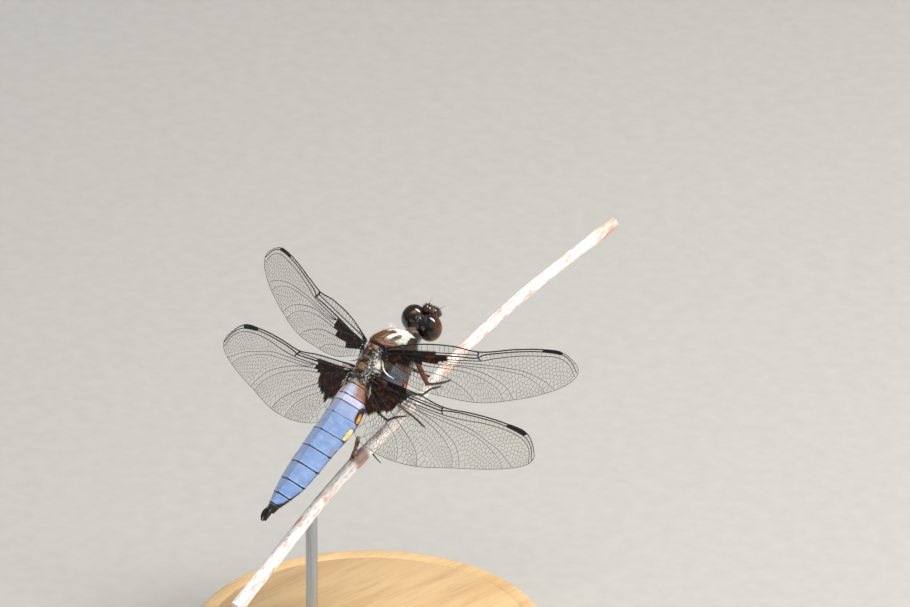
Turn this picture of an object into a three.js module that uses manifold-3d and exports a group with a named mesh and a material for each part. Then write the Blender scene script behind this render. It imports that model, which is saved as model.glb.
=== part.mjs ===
// A male broad-bodied chaser dragonfly at rest on a cut length of dry stem, held by a display stand.
// Millimetres, +Z up. The origin is the centre of the stand's underside, and the insect faces -Y.
import * as THREE from "three";
import { mergeVertices } from "three/addons/utils/BufferGeometryUtils.js";
import Module from "manifold-3d";

const wasm = await Module();
wasm.setup();
const rad = THREE.MathUtils.degToRad;

// ---------------------------------------------------------------- driving dimensions
const CUT = 0.05; // thin cut left where two pieces meet
const HINGE_HEIGHT = 57; // midpoint of the forewing hinges above the floor
const BODY_PITCH = rad(36); // head up from the horizon

const WING_THICKNESS = 0.5;
const LEG_RADII = {
  coxa: 0.8,
  hipRadius: 0.5,
  trochanterRadius: 0.42,
  kneeRadius: 0.32,
  shin: 0.27,
  footRadius: 0.25,
};
const STEM_RADII = [1.17, 0.94]; // at the cut foot, and past the middle

const BASE_RADIUS = 30;
const BASE_HEIGHT = 5;
const BASE_EDGE = 0.8; // chamfer round the base's top edge
const ROD_RADIUS = 1.0;
const ROD_BACK = 13; // rod's distance behind the base's centre

// The head turns and tilts against the thorax so that the face looks level.
const HEAD_CENTRE = [0, 11.4, -5.6];
const HEAD_PITCH = rad(-34);
const HEAD_YAW = rad(9.7);
const HEAD_ROLL = rad(19.2);
const EYE_CENTRE = [1.98, 0, 0];
const EYE_RADII = [1.88, 1.9, 2.15];
const EYE_LEAN = rad(12); // the tops of the eyes lean together

// Thorax sections along the body: place, half width, top, bottom.
const THORAX_SECTIONS = [
  [-4.9, 1.4, -2.2, -4.0],
  [-4.3, 2.5, -1.2, -5.4],
  [-2.8, 3.3, -0.4, -7.5],
  [-0.8, 3.75, 0.25, -9.0],
  [1.4, 3.9, 0.8, -9.4],
  [3.4, 3.8, 0.75, -9.1],
  [5.0, 3.5, 0.1, -8.6],
  [6.3, 3.0, -1.1, -8.0],
  [7.2, 2.45, -2.3, -7.4],
  [7.9, 1.7, -3.6, -6.8],
  [8.2, 0.9, -4.6, -6.0],
];

// Abdomen: it starts under the hindwings and drops away from the thorax's line.
const ABDOMEN_START = [-0.1, -5.5, -1.3];
const ABDOMEN_DROP = rad(6.2);
const ABDOMEN_TURN = rad(-1.6);
// Rings at the seams: distance along, half width, keel above the side edge, belly below it.
const ABDOMEN_RINGS = [
  [-1.6, 2.3, 1.6, 1.5],
  [-0.5, 2.7, 1.8, 1.6],
  [1.6, 3.25, 2.05, 1.5],
  [5.3, 3.43, 2.1, 1.4],
  [8.9, 3.5, 2.1, 1.4],
  [12.3, 3.45, 2.0, 1.4],
  [15.6, 3.3, 1.85, 1.3],
  [19.0, 2.85, 1.65, 1.2],
  [21.8, 2.08, 1.3, 1.0],
  [23.8, 1.28, 1.0, 0.8],
  [25.2, 0.95, 0.85, 0.6],
];
const TAIL_TIP = 27.4;

// Wings: outlines in the wing's own plane, x out along the span and y forward, from the front hinge.
const FOREWING = {
  outline: [
    [-0.3, 0.2], [5.9, 1.1], [12.2, 1.0], [17.6, 0.2], [24, 0.8], [28.8, 1.0], [32.8, 0.6],
    [35.4, -1.2], [35.9, -2.8], [34.1, -4.6], [29.8, -6.3], [23.8, -7.6], [18, -8.2], [11.8, -7.5],
    [5.8, -6.2], [1.6, -4.0], [-0.3, -3.0],
  ],
  stigma: [29.2, 32.9, -0.45],
};
const HINDWING = {
  outline: [
    [-0.3, 0.1], [5, -0.2], [9.9, -0.5], [14.6, -1.0], [20.8, -0.3], [26.6, 0.0], [31.5, -0.4],
    [34.3, -3.2], [34.2, -4.7], [32.4, -6.1], [27.8, -8.0], [21, -10.0], [14.6, -11.8], [9.3, -12.3],
    [4.8, -11.9], [1.8, -11.0], [0.6, -9.7], [0.9, -7.4], [0.5, -5.0], [-0.3, -3.2],
  ],
  stigma: [27.4, 31.4, -1.15],
};
// Each wing: hinge, sweep forward, droop, and pitch with the front edge up.
const FORE_HINGE = [2.62, 2.28, 0];
const HIND_HINGE = [2.72, -2.23, -1.59];
const WINGS = {
  forewing_right: { plan: FOREWING, side: 1, hinge: FORE_HINGE, sweep: 22.3, droop: 3.1, pitch: 30 },
  forewing_left: { plan: FOREWING, side: -1, hinge: FORE_HINGE, sweep: 15.8, droop: 5.9, pitch: 30 },
  hindwing_right: { plan: HINDWING, side: 1, hinge: HIND_HINGE, sweep: 7.1, droop: 6.9, pitch: 15 },
  hindwing_left: { plan: HINDWING, side: -1, hinge: HIND_HINGE, sweep: 0.8, droop: 10, pitch: 15 },
};

// Legs, in the thorax's frame: hip on the breast, knee, heel on the stem, and the foot's line to the claws.
const LEGS = {
  fore_right: {
    hip: [1.3, 5.9, -7.9],
    knee: [2.6, 4.2, -13.3],
    heel: [1.5, 6.8, -17.2],
    foot: [[1.7, 8.1, -18.2]],
  },
  fore_left: {
    hip: [-1.3, 5.9, -7.9],
    knee: [-3.2, 5.2, -13.0],
    heel: [-1.3, 7.0, -17.6],
    foot: [[-1.2, 9.3, -18.0]],
  },
  mid_right: {
    hip: [1.6, 3.2, -8.7],
    knee: [4.3, -0.9, -7.9],
    heel: [1.7, 2.8, -15.0],
    foot: [[1.5, 4.6, -16.0], [1.6, 6.0, -17.3]],
  },
  mid_left: {
    hip: [-1.6, 3.2, -8.7],
    knee: [-4.6, 0.2, -10.8],
    heel: [-1.3, 2.7, -16.8],
    foot: [[-1.2, 5.6, -17.6]],
  },
  hind_right: {
    hip: [1.7, 0.4, -8.6],
    knee: [4.4, -3.2, -6.8],
    heel: [1.3, -1.0, -16.0],
    foot: [[1.7, -0.9, -17.4], [2.4, -0.9, -19.2]],
  },
  hind_left: {
    hip: [-1.7, 0.4, -8.6],
    knee: [-5.0, -4.1, -9.5],
    heel: [-0.4, -4.3, -14.1],
    foot: [[0.5, -3.0, -14.4], [1.35, -1.9, -15.2]],
  },
};

// Stem: its line in the upright plane through the insect, as y and height against the hinge midpoint.
const STEM_LINE = [
  [30, -36.6], [20.3, -30.0], [11.2, -23.8], [3.9, -19.5], [-3.8, -15.7], [-11.5, -11.9],
  [-19, -7.8], [-27.1, -4.2], [-35.4, -1.0], [-44.2, 1.8], [-57.5, 5.6],
];
// The stem's joints, as the share of its length and how far each swells.
const STEM_NODES = [[0.29, 0.1], [0.535, 0.1], [0.955, 0.22]];
// A broken side shoot stands on the lower joint.
const SPUR_LINE = [[0, 3.6, -18.6], [0, 2.9, -16.6], [0, 2.2, -14.6]];

// ---------------------------------------------------------------- shape helpers

// A closed geometry as a manifold solid.
function toSolid(geometry) {
  const bare = new THREE.BufferGeometry();
  bare.setAttribute("position", geometry.getAttribute("position").clone());
  if (geometry.index) bare.setIndex(geometry.index.clone());
  const merged = mergeVertices(bare, 1e-4);
  const kept = [];
  const corners = merged.index.array;
  for (let i = 0; i < corners.length; i += 3) {
    const [a, b, c] = [corners[i], corners[i + 1], corners[i + 2]];
    if (a !== b && b !== c && c !== a) kept.push(a, b, c);
  }
  return new wasm.Manifold(
    new wasm.Mesh({
      numProp: 3,
      vertProperties: merged.attributes.position.array,
      triVerts: new Uint32Array(kept),
    }),
  );
}

// A manifold solid's main body as a geometry with flat-shaded faces.
function toGeometry(solid) {
  const main = solid.decompose().sort((a, b) => b.volume() - a.volume())[0];
  const mesh = main.getMesh();
  const geometry = new THREE.BufferGeometry();
  geometry.setAttribute("position", new THREE.BufferAttribute(mesh.vertProperties, 3));
  geometry.setIndex(new THREE.BufferAttribute(mesh.triVerts, 1));
  geometry.computeVertexNormals();
  return geometry;
}

// A smooth function through the rows of a table, whose first column is the place.
function along(rows) {
  const columns = rows[0].length - 1;
  return (place) => {
    let i = rows.findIndex((row) => row[0] >= place);
    i = THREE.MathUtils.clamp(i < 0 ? rows.length - 1 : i, 1, rows.length - 1);
    const row = (k) => rows[THREE.MathUtils.clamp(i + k, 0, rows.length - 1)];
    const [p0, p1, p2, p3] = [row(-2), row(-1), row(0), row(1)];
    const t = THREE.MathUtils.clamp((place - p1[0]) / (p2[0] - p1[0]), 0, 1);
    const value = [];
    for (let c = 1; c <= columns; c += 1) {
      const m1 = ((p2[c] - p0[c]) / (p2[0] - p0[0] || 1)) * (p2[0] - p1[0]);
      const m2 = ((p3[c] - p1[c]) / (p3[0] - p1[0] || 1)) * (p2[0] - p1[0]);
      const cubic = (2 * t ** 3 - 3 * t ** 2 + 1) * p1[c] + (t ** 3 - 2 * t ** 2 + t) * m1;
      value.push(cubic + (3 * t ** 2 - 2 * t ** 3) * p2[c] + (t ** 3 - t ** 2) * m2);
    }
    return value;
  };
}

// A closed body whose rings follow point(turn, share, reach): the turn round it, the share of its length,
// and the reach out from its core.
function ringBody(sides, steps, point) {
  const geometry = new THREE.CylinderGeometry(1, 1, 1, sides, steps);
  const position = geometry.getAttribute("position");
  const here = new THREE.Vector3();
  for (let i = 0; i < position.count; i += 1) {
    here.fromBufferAttribute(position, i);
    const placed = point(Math.atan2(here.x, here.z), here.y + 0.5, Math.hypot(here.x, here.z));
    position.setXYZ(i, placed.x, placed.y, placed.z);
  }
  return geometry;
}

// An egg or ball: centre, three radii, and a turn about its own axes.
function ball(centre, radii, grow = 0, turn = [0, 0, 0], sides = 20) {
  const geometry = new THREE.SphereGeometry(1, sides, Math.round(sides * 0.6));
  geometry.rotateX(Math.PI / 2);
  geometry.scale(radii[0] + grow, radii[1] + grow, radii[2] + grow);
  geometry.applyQuaternion(new THREE.Quaternion().setFromEuler(new THREE.Euler(...turn)));
  return geometry.translate(...centre);
}

// A round limb along a smooth line through points, with a radius at each share of its length.
function limb(points, radii, grow = 0, sides = 8, steps = 6) {
  const line = new THREE.CatmullRomCurve3(points.map((p) => new THREE.Vector3(...p)), false, "centripetal");
  const frames = line.computeFrenetFrames(steps);
  const radius = along(radii.map((r, i) => [i / (radii.length - 1), r]));
  const length = line.getLength();
  return ringBody(sides, steps, (turn, share, reach) => {
    const step = Math.round(share * steps);
    const rounded = step === 0 || step === steps ? 0.75 : 1;
    const size = (radius(share)[0] * rounded + grow) * reach;
    const end = (step === 0 ? -grow : 0) + (step === steps ? grow : 0);
    return line
      .getPointAt(THREE.MathUtils.clamp(share, 0, 1))
      .addScaledVector(frames.tangents[step], length > 0 ? end : 0)
      .addScaledVector(frames.normals[step], Math.cos(turn) * size)
      .addScaledVector(frames.binormals[step], Math.sin(turn) * size);
  });
}

// Pieces are kept by name, so that a neighbour can be cut back from them. A neighbour may also be given
// as a cutter of the same kind.
const pieces = new Map();

function addPiece(group, name, [colour, roughness, metalness], make, ...neighbours) {
  let solid = toSolid(make(0));
  const toHere = group.matrixWorld.clone().invert();
  for (const other of neighbours) {
    const there = pieces.get(other) ?? other;
    const cutter = there.make(CUT).applyMatrix4(toHere.clone().multiply(there.group.matrixWorld));
    solid = solid.subtract(toSolid(cutter));
  }
  const material = new THREE.MeshStandardMaterial({ color: colour, roughness, metalness });
  const mesh = new THREE.Mesh(toGeometry(solid), material);
  mesh.name = name;
  group.add(mesh);
  pieces.set(name, { group, make });
}

// ---------------------------------------------------------------- finishes: colour, roughness, metalness
const POWDER_BLUE = ["#8fa9d6", 0.7, 0];
const BLACK_HORN = ["#17130f", 0.35, 0];
const BROWN_FUR = ["#6b4423", 0.8, 0];
const EYE_BROWN = ["#2a1710", 0.1, 0];
const FACE_BROWN = ["#3a2113", 0.3, 0];
const LEG_RED = ["#8a3a24", 0.4, 0];
const WING_CLEAR = ["#c9c3a0", 0.25, 0];
const DRY_STEM = ["#e9dcc9", 0.8, 0];
const MAPLE = ["#c9a878", 0.45, 0];
const STEEL = ["#b9bcc0", 0.3, 1];

// ---------------------------------------------------------------- frames
const root = new THREE.Group();

const insect = new THREE.Group();
insect.position.set(0, 0, HINGE_HEIGHT);
insect.rotation.set(-BODY_PITCH, 0, Math.PI, "XYZ");
root.add(insect);

const head = new THREE.Group();
head.position.set(...HEAD_CENTRE);
head.rotation.set(HEAD_PITCH, HEAD_ROLL, HEAD_YAW, "ZXY");
insect.add(head);

const abdomen = new THREE.Group();
abdomen.position.set(...ABDOMEN_START);
abdomen.rotation.set(ABDOMEN_DROP, 0, ABDOMEN_TURN, "ZYX");
insect.add(abdomen);
root.updateMatrixWorld(true);

// ---------------------------------------------------------------- thorax
const thoraxAt = along(THORAX_SECTIONS);

// The winged thorax: a deep egg, narrower above where the wings hinge.
function wholeThorax(grow) {
  const first = THORAX_SECTIONS[0][0] - grow;
  const last = THORAX_SECTIONS.at(-1)[0] + grow;
  return ringBody(20, 12, (turn, share, reach) => {
    const y = THREE.MathUtils.lerp(first, last, share);
    const [half, top, bottom] = thoraxAt(y);
    const across = (half + grow) * reach * Math.sin(turn) * (1 - 0.16 * Math.cos(turn));
    const middle = (top + bottom) / 2;
    return new THREE.Vector3(across, y, middle + ((top - bottom) / 2 + grow) * reach * Math.cos(turn));
  });
}

// The seam between the winged rings runs from between the wings forward to the middle legs.
function halfThorax(front, grow) {
  const side = front ? 1 : -1;
  const block = new THREE.BoxGeometry(20, 20, 30);
  block.translate(0, side * (10 + CUT / 2 - grow), 0);
  block.rotateX(rad(15));
  block.translate(0, 0.3, 0);
  return toGeometry(toSolid(wholeThorax(grow)).intersect(toSolid(block)));
}

addPiece(insect, "mesothorax", BROWN_FUR, (grow) => halfThorax(true, grow));
addPiece(insect, "metathorax", BROWN_FUR, (grow) => halfThorax(false, grow));
const prothorax = (grow) => ball([0.05, 8.7, -5.8], [1.75, 1.15, 1.5], grow, [rad(-30), 0, 0], 12);
addPiece(insect, "prothorax", BROWN_FUR, prothorax, "mesothorax");

// ---------------------------------------------------------------- head
function eye(side, grow) {
  const centre = [side * EYE_CENTRE[0], EYE_CENTRE[1], EYE_CENTRE[2]];
  const whole = toSolid(ball(centre, EYE_RADII, grow, [0, -side * EYE_LEAN, 0], 20));
  const half = new THREE.BoxGeometry(10, 10, 10).translate(side * (5 + CUT / 2 - grow), 0, 0);
  return toGeometry(whole.intersect(toSolid(half)));
}

addPiece(head, "eye_right", EYE_BROWN, (grow) => eye(1, grow));
addPiece(head, "eye_left", EYE_BROWN, (grow) => eye(-1, grow));
const EYES = ["eye_right", "eye_left"];

const HEAD_BALLS = {
  frons: [[0, 2.75, 0.6], [1.3, 1.15, 0.9], 16],
  vertex: [[0, 1.6, 1.75], [0.75, 0.7, 0.62], 12],
  clypeus: [[0, 2.55, -0.75], [1.45, 1.0, 0.85], 12],
  labrum: [[0, 2.25, -1.7], [1.3, 0.8, 0.55], 12],
  labium: [[0, 1.05, -2.05], [1.65, 1.5, 0.7], 10],
  head_capsule: [[0, -0.25, -0.35], [2.6, 1.55, 2.2], 9],
};
const facePieces = [];
for (const [name, [centre, radii, sides]] of Object.entries(HEAD_BALLS)) {
  const behind = name === "head_capsule" ? ["prothorax"] : [];
  const make = (grow) => ball(centre, radii, grow, [0, 0, 0], sides);
  addPiece(head, name, FACE_BROWN, make, ...EYES, ...facePieces, ...behind);
  facePieces.push(name);
}
for (const [name, side] of [["antenna_right", 1], ["antenna_left", -1]]) {
  const line = [[side * 0.95, 2.1, 1.4], [side * 1.2, 3.1, 2.0], [side * 1.55, 4.2, 2.5]];
  const feeler = (grow) => limb(line, [0.3, 0.25, 0.25], grow, 6, 4);
  addPiece(head, name, BLACK_HORN, feeler, ...EYES, "frons", "vertex");
}

// ---------------------------------------------------------------- abdomen
const ringAt = along(ABDOMEN_RINGS);

// A length of the roof-shaped abdomen: a keel above, sharp side edges and a rounded belly.
function abdomenLength(from, to, grow, steps) {
  return ringBody(20, steps, (turn, share, reach) => {
    const place = THREE.MathUtils.lerp(to + grow, from - grow, share);
    const [half, keel, belly] = ringAt(place);
    const across = Math.sin(turn);
    const roof = Math.cos(turn) > 0 ? keel * (1 - Math.abs(across) ** 1.4) : 0;
    const under = Math.cos(turn) > 0 ? 0 : -belly * Math.sqrt(1 - across ** 2);
    const height = (roof + under + Math.sign(Math.cos(turn)) * grow) * reach;
    return new THREE.Vector3((half + grow) * reach * across, -place, height - keel);
  });
}

for (let i = 0; i < ABDOMEN_RINGS.length - 1; i += 1) {
  const from = ABDOMEN_RINGS[i][0] + CUT / 2;
  const to = ABDOMEN_RINGS[i + 1][0] - CUT / 2;
  const colour = i < 7 ? POWDER_BLUE : BLACK_HORN;
  const neighbours = i < 2 ? ["metathorax"] : [];
  addPiece(abdomen, `abdomen_${i + 1}`, colour, (grow) => abdomenLength(from, to, grow, 2), ...neighbours);
}

const TAIL_START = ABDOMEN_RINGS.at(-1)[0] - 0.3;
for (const [name, side] of [["cercus_right", 1], ["cercus_left", -1]]) {
  const line = [[side * 0.4, -TAIL_START, -0.55], [side * 0.62, -26.3, -0.45], [side * 0.4, -TAIL_TIP, -0.6]];
  addPiece(abdomen, name, BLACK_HORN, (grow) => limb(line, [0.28, 0.32, 0.25], grow), "abdomen_10");
}
const epiproct = (grow) => limb([[0, -TAIL_START, -1.15], [0, -26.7, -1.25]], [0.4, 0.27], grow, 8, 3);
addPiece(abdomen, "epiproct", BLACK_HORN, epiproct, "abdomen_10", "cercus_right", "cercus_left");

// ---------------------------------------------------------------- wings
function wingPlate(plan, side) {
  const line = new THREE.SplineCurve(plan.outline.map(([x, y]) => new THREE.Vector2(x, y)));
  const points = line.getPoints(3 * (plan.outline.length - 1));
  const shape = new THREE.Shape(points.map((p) => new THREE.Vector2(side * p.x, p.y)));
  const plate = new THREE.ExtrudeGeometry(shape, { depth: WING_THICKNESS, bevelEnabled: false });
  return plate.translate(0, 0, -WING_THICKNESS / 2);
}

// The dark cell near the tip, as the part of the plate in front of its rear vein.
function stigmaBlock(plan, side, grow) {
  const [inner, outer, back] = plan.stigma;
  const block = new THREE.BoxGeometry(outer - inner + 2 * grow, 3, 2 * WING_THICKNESS);
  return block.translate((side * (inner + outer)) / 2, back + 1.5 - grow, 0);
}

function stigma(plan, side, grow) {
  return toGeometry(toSolid(wingPlate(plan, side)).intersect(toSolid(stigmaBlock(plan, side, grow))));
}

// The wing's own frame: span out and chord forward, turned by sweep, droop and pitch.
function wingFrame({ side, sweep, droop, pitch, hinge }) {
  const [a, b, c] = [rad(sweep), rad(droop), rad(pitch)];
  const out = new THREE.Vector3(Math.cos(b) * Math.cos(a), Math.cos(b) * Math.sin(a), -Math.sin(b));
  const level = new THREE.Vector3(-Math.sin(a), Math.cos(a), 0);
  const lift = out.clone().cross(level);
  const chord = level.multiplyScalar(Math.cos(c)).addScaledVector(lift, Math.sin(c));
  out.x *= side;
  chord.x *= side;
  out.multiplyScalar(side);
  const frame = new THREE.Group();
  frame.quaternion.setFromRotationMatrix(new THREE.Matrix4().makeBasis(out, chord, out.clone().cross(chord)));
  frame.position.set(side * hinge[0], hinge[1], hinge[2]);
  return frame;
}

const WING_NEIGHBOURS = ["mesothorax", "metathorax", "abdomen_1", "abdomen_2", "abdomen_3", "abdomen_4"];
for (const [name, wing] of Object.entries(WINGS)) {
  const frame = wingFrame(wing);
  insect.add(frame);
  frame.updateMatrixWorld(true);
  const { plan, side } = wing;
  const cell = { group: frame, make: (grow) => stigmaBlock(plan, side, grow) };
  addPiece(frame, `pterostigma_${name.replace("wing", "")}`, BLACK_HORN, (grow) => stigma(plan, side, grow));
  addPiece(frame, name, WING_CLEAR, () => wingPlate(plan, side), cell, ...WING_NEIGHBOURS);
}

// ---------------------------------------------------------------- perch
const stemPoints = STEM_LINE.map(([y, z]) => [0, y, HINGE_HEIGHT + z]);

const STEM_STEPS = 28;

// The dry stem, thinner towards its top and swollen at its joints.
function stem(grow) {
  const radii = [];
  for (let i = 0; i <= STEM_STEPS; i += 1) {
    const share = i / STEM_STEPS;
    const taper = THREE.MathUtils.lerp(STEM_RADII[0], STEM_RADII[1], Math.min(1, share * 1.6));
    const swelling = STEM_NODES.map(([place, rise]) => rise * Math.exp(-(((share - place) / 0.02) ** 2)));
    radii.push(taper + swelling[0] + swelling[1] + swelling[2]);
  }
  return limb(stemPoints, radii, grow, 9, STEM_STEPS);
}
addPiece(root, "perch_stem", DRY_STEM, stem);

const spurPoints = SPUR_LINE.map(([x, y, z]) => [x, y, HINGE_HEIGHT + z]);
const spur = (grow) => limb(spurPoints, [0.55, 0.4, 0.3], grow, 8, 4);
addPiece(root, "perch_spur", DRY_STEM, spur, "perch_stem");

// ---------------------------------------------------------------- legs
const { coxa, hipRadius, trochanterRadius, kneeRadius, shin, footRadius } = LEG_RADII;
for (const [name, { hip, knee, heel, foot }] of Object.entries(LEGS)) {
  const start = [hip[0] * 0.9, hip[1] + 0.3, hip[2] + 1.0];
  const trochanter = hip.map((v, i) => v + 0.22 * (knee[i] - v));
  const thighRadii = [coxa, hipRadius, trochanterRadius, kneeRadius];
  const thigh = (grow) => limb([start, hip, trochanter, knee], thighRadii, grow, 7, 7);
  addPiece(insect, `femur_${name}`, LEG_RED, thigh, "mesothorax", "metathorax", "abdomen_1", "abdomen_2");
  const shinBone = (grow) => limb([knee, heel], [kneeRadius, shin, shin], grow, 6, 4);
  addPiece(insect, `tibia_${name}`, BLACK_HORN, shinBone, `femur_${name}`, "perch_stem");
  const footLine = (grow) => limb([heel, ...foot], [footRadius, footRadius], grow, 6, 5);
  addPiece(insect, `tarsus_${name}`, BLACK_HORN, footLine, `tibia_${name}`, "perch_stem");
}

// ---------------------------------------------------------------- stand
function baseDisc(grow) {
  const edge = [
    [0, -grow],
    [BASE_RADIUS + grow, -grow],
    [BASE_RADIUS + grow, BASE_HEIGHT - BASE_EDGE + grow],
    [BASE_RADIUS - BASE_EDGE + grow, BASE_HEIGHT + grow],
    [0, BASE_HEIGHT + grow],
  ];
  const disc = new THREE.LatheGeometry(edge.map(([x, y]) => new THREE.Vector2(x, y)), 44);
  return disc.rotateX(Math.PI / 2);
}

// The rod is let into the base and ends in a saddle under the stem.
const stemHeight = along([...STEM_LINE].reverse());
function standRod(grow) {
  const top = HINGE_HEIGHT + stemHeight(ROD_BACK)[0];
  const height = top - BASE_HEIGHT / 2;
  const rod = new THREE.CylinderGeometry(ROD_RADIUS + grow, ROD_RADIUS + grow, height, 18);
  rod.rotateX(Math.PI / 2);
  return rod.translate(0, ROD_BACK, top - height / 2);
}

addPiece(root, "stand_rod", STEEL, standRod, "perch_stem");
addPiece(root, "stand_base", MAPLE, baseDisc, "stand_rod");

export default root;
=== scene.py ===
"""A still, life-size model of a male broad-bodied chaser dragonfly on a cut dry stem, on a display stand.

Shapes are drawn in millimetres, each in the frame of the body part that it belongs to, and are
settled into the shared frame, in metres, at the end.
"""
import math
import random
from contextlib import contextmanager
from functools import partial

import bmesh
import bpy
import numpy as np
from mathutils import Matrix, Vector, noise
from mathutils.geometry import delaunay_2d_cdt


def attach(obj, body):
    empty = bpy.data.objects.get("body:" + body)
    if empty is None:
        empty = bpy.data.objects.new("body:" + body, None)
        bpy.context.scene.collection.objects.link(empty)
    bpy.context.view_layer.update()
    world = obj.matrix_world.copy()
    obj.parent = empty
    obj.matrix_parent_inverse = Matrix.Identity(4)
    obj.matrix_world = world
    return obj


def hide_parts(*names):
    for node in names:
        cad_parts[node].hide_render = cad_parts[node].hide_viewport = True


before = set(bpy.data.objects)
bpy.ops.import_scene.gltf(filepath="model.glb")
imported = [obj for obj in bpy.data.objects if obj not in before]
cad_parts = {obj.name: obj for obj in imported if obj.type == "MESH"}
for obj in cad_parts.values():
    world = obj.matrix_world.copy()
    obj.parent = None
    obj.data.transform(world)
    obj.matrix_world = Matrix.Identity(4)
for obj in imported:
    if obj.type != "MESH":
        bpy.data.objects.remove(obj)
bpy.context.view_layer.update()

# ------- frames
MM = 0.001
HINGE_HEIGHT = 57.0  # midpoint of the forewing hinges above the floor
BODY_PITCH = 36  # head up from the horizon, in degrees


def turned(degrees, axis):
    """A turn about one axis."""
    return Matrix.Rotation(math.radians(degrees), 4, axis)


SIDES = {"right": 1, "left": -1}

# In the insect's frame x is its right, y is forward and z is up from its back.
STAND = Matrix.Scale(MM, 4)
INSECT = STAND @ Matrix.Translation((0, 0, HINGE_HEIGHT)) @ turned(-BODY_PITCH, "X") @ turned(180, "Z")
HEAD = (
    INSECT
    @ Matrix.Translation((0, 11.4, -5.6))
    @ turned(9.7, "Z")
    @ turned(-34, "X")
    @ turned(19.2, "Y")
)
ABDOMEN = (
    INSECT
    @ Matrix.Translation((-0.1, -5.5, -1.3))
    @ turned(-1.6, "Z")
    @ turned(6.2, "X")
)

# ------- camera and lights
CAMERA_AZIMUTH = math.radians(-133.5)
CAMERA_HEIGHT_ANGLE = math.radians(26)
CAMERA_DISTANCE = 1.6
VIEW_WIDTH = 0.15167  # what the view spans at the insect
AIM_RIGHT, AIM_UP = 14.55, 8.63  # the view's middle from the forewing hinges


def camera_axes():
    """Right, up and back of the camera."""
    right = Vector((math.cos(CAMERA_AZIMUTH), math.sin(CAMERA_AZIMUTH), 0))
    level_back = Vector((right.y, -right.x, 0))
    back = level_back * math.cos(CAMERA_HEIGHT_ANGLE) + Vector((0, 0, math.sin(CAMERA_HEIGHT_ANGLE)))
    return right, back.cross(right), back


def turned_to(x, y, z):
    """The turn that lays the axes along these three ways."""
    return Matrix((x, y, z)).transposed().to_4x4()


def look_along(back, up):
    """A turn whose -Z looks against back, with up upwards."""
    right = up.cross(back).normalized()
    return turned_to(right, back.cross(right).normalized(), back.normalized())


def make_camera():
    """The camera, and the point it looks at."""
    right, up, back = camera_axes()
    aim = (Vector((0, 0, HINGE_HEIGHT)) + right * AIM_RIGHT + up * AIM_UP) * MM
    data = bpy.data.cameras.new("camera")
    data.sensor_width = 36
    data.lens = data.sensor_width * CAMERA_DISTANCE / VIEW_WIDTH
    data.clip_start = 0.05
    data.clip_end = 20
    camera = new_piece("camera", data)
    camera.matrix_world = Matrix.Translation(aim + back * CAMERA_DISTANCE) @ look_along(back, up)
    bpy.context.scene.camera = camera
    return aim


def make_light(name, back, distance, size, watts, colour, aim, tall=Vector((0, 0, 1))):
    """An oval soft box, back from its aim, with its long side along tall."""
    data = bpy.data.lights.new(name, "AREA")
    data.shape = "ELLIPSE"
    data.size, data.size_y = size
    data.energy = watts
    data.color = colour
    lamp = new_piece(name, data)
    back = back.normalized()
    lamp.matrix_world = Matrix.Translation(aim + back * distance) @ look_along(back, tall)
    return lamp


def make_lights(aim):
    """A tall key light from above, a wide fill from the camera, and a low side light."""
    right, up, back = camera_axes()
    over_shoulder = up * 0.9 + back * 0.5 + right * 0.4
    make_light("key", over_shoulder, 0.7, (0.22, 0.65), 7.7, (1.0, 0.97, 0.92), aim, up * 0.8 - right * 0.6)
    make_light("fill", back + right * 0.5 + up * 0.2, 1.2, (1.8, 1.8), 3.3, (0.94, 0.97, 1.0), aim)
    low_side = right + back * 0.55 - up * 0.1
    side = make_light("side", low_side, 0.9, (0.6, 0.6), 4.0, (1.0, 0.98, 0.95), aim)
    side.visible_glossy = False
    world = bpy.data.worlds.new("studio")
    world.use_nodes = True
    sky = world.node_tree.nodes["Background"].inputs
    sky["Color"].default_value = (0.86, 0.89, 0.93, 1)
    sky["Strength"].default_value = 0.33
    bpy.context.scene.world = world
    bpy.context.scene.view_settings.view_transform = "Standard"


# ------- materials
def linear(code):
    """An sRGB hex colour as linear RGBA."""
    parts = [int(code[i : i + 2], 16) / 255 for i in (1, 3, 5)]
    return (*[p / 12.92 if p <= 0.04045 else ((p + 0.055) / 1.055) ** 2.4 for p in parts], 1.0)


def per_mm(size):
    """The scale of a pattern whose features are size millimetres across."""
    return 1 / (size * MM)


def add_node(tree, kind, links=None, out=None, **settings):
    """Adds a shader node with its settings, sets or links its inputs, and gives one of its outputs.

    A ramp's stops are places with a colour or a grey."""
    node = tree.nodes.new("ShaderNode" + kind)
    stops = settings.pop("stops", ())
    for name, value in settings.items():
        setattr(node, name, value)
    for _ in stops[2:]:
        node.color_ramp.elements.new(1.0)
    for element, (place, tone) in zip(node.color_ramp.elements if stops else (), stops):
        element.position = place
        element.color = (tone, tone, tone, 1.0) if isinstance(tone, float) else tone
    for name, value in (links or {}).items():
        socket = next(s for s in node.inputs if s.enabled and name in (s.name, s.identifier))
        if isinstance(value, bpy.types.NodeSocket):
            tree.links.new(value, socket)
        else:
            socket.default_value = value
    return next((s for s in node.outputs if s.enabled and out in (None, s.name)), None)


def new_material(name):
    """A material without nodes, and a function that adds one to it."""
    material = bpy.data.materials.new(name)
    material.use_nodes = True
    material.node_tree.nodes.clear()
    return material, partial(add_node, material.node_tree)


def finished(material, node, surface):
    """The material with its shader, which takes these values and links."""
    node("OutputMaterial", {"Surface": node("BsdfPrincipled", surface)})
    return material


MULTIPLIED = {"data_type": "RGBA", "blend_type": "MULTIPLY"}
MARKINGS = {"attribute_name": "markings"}


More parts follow.
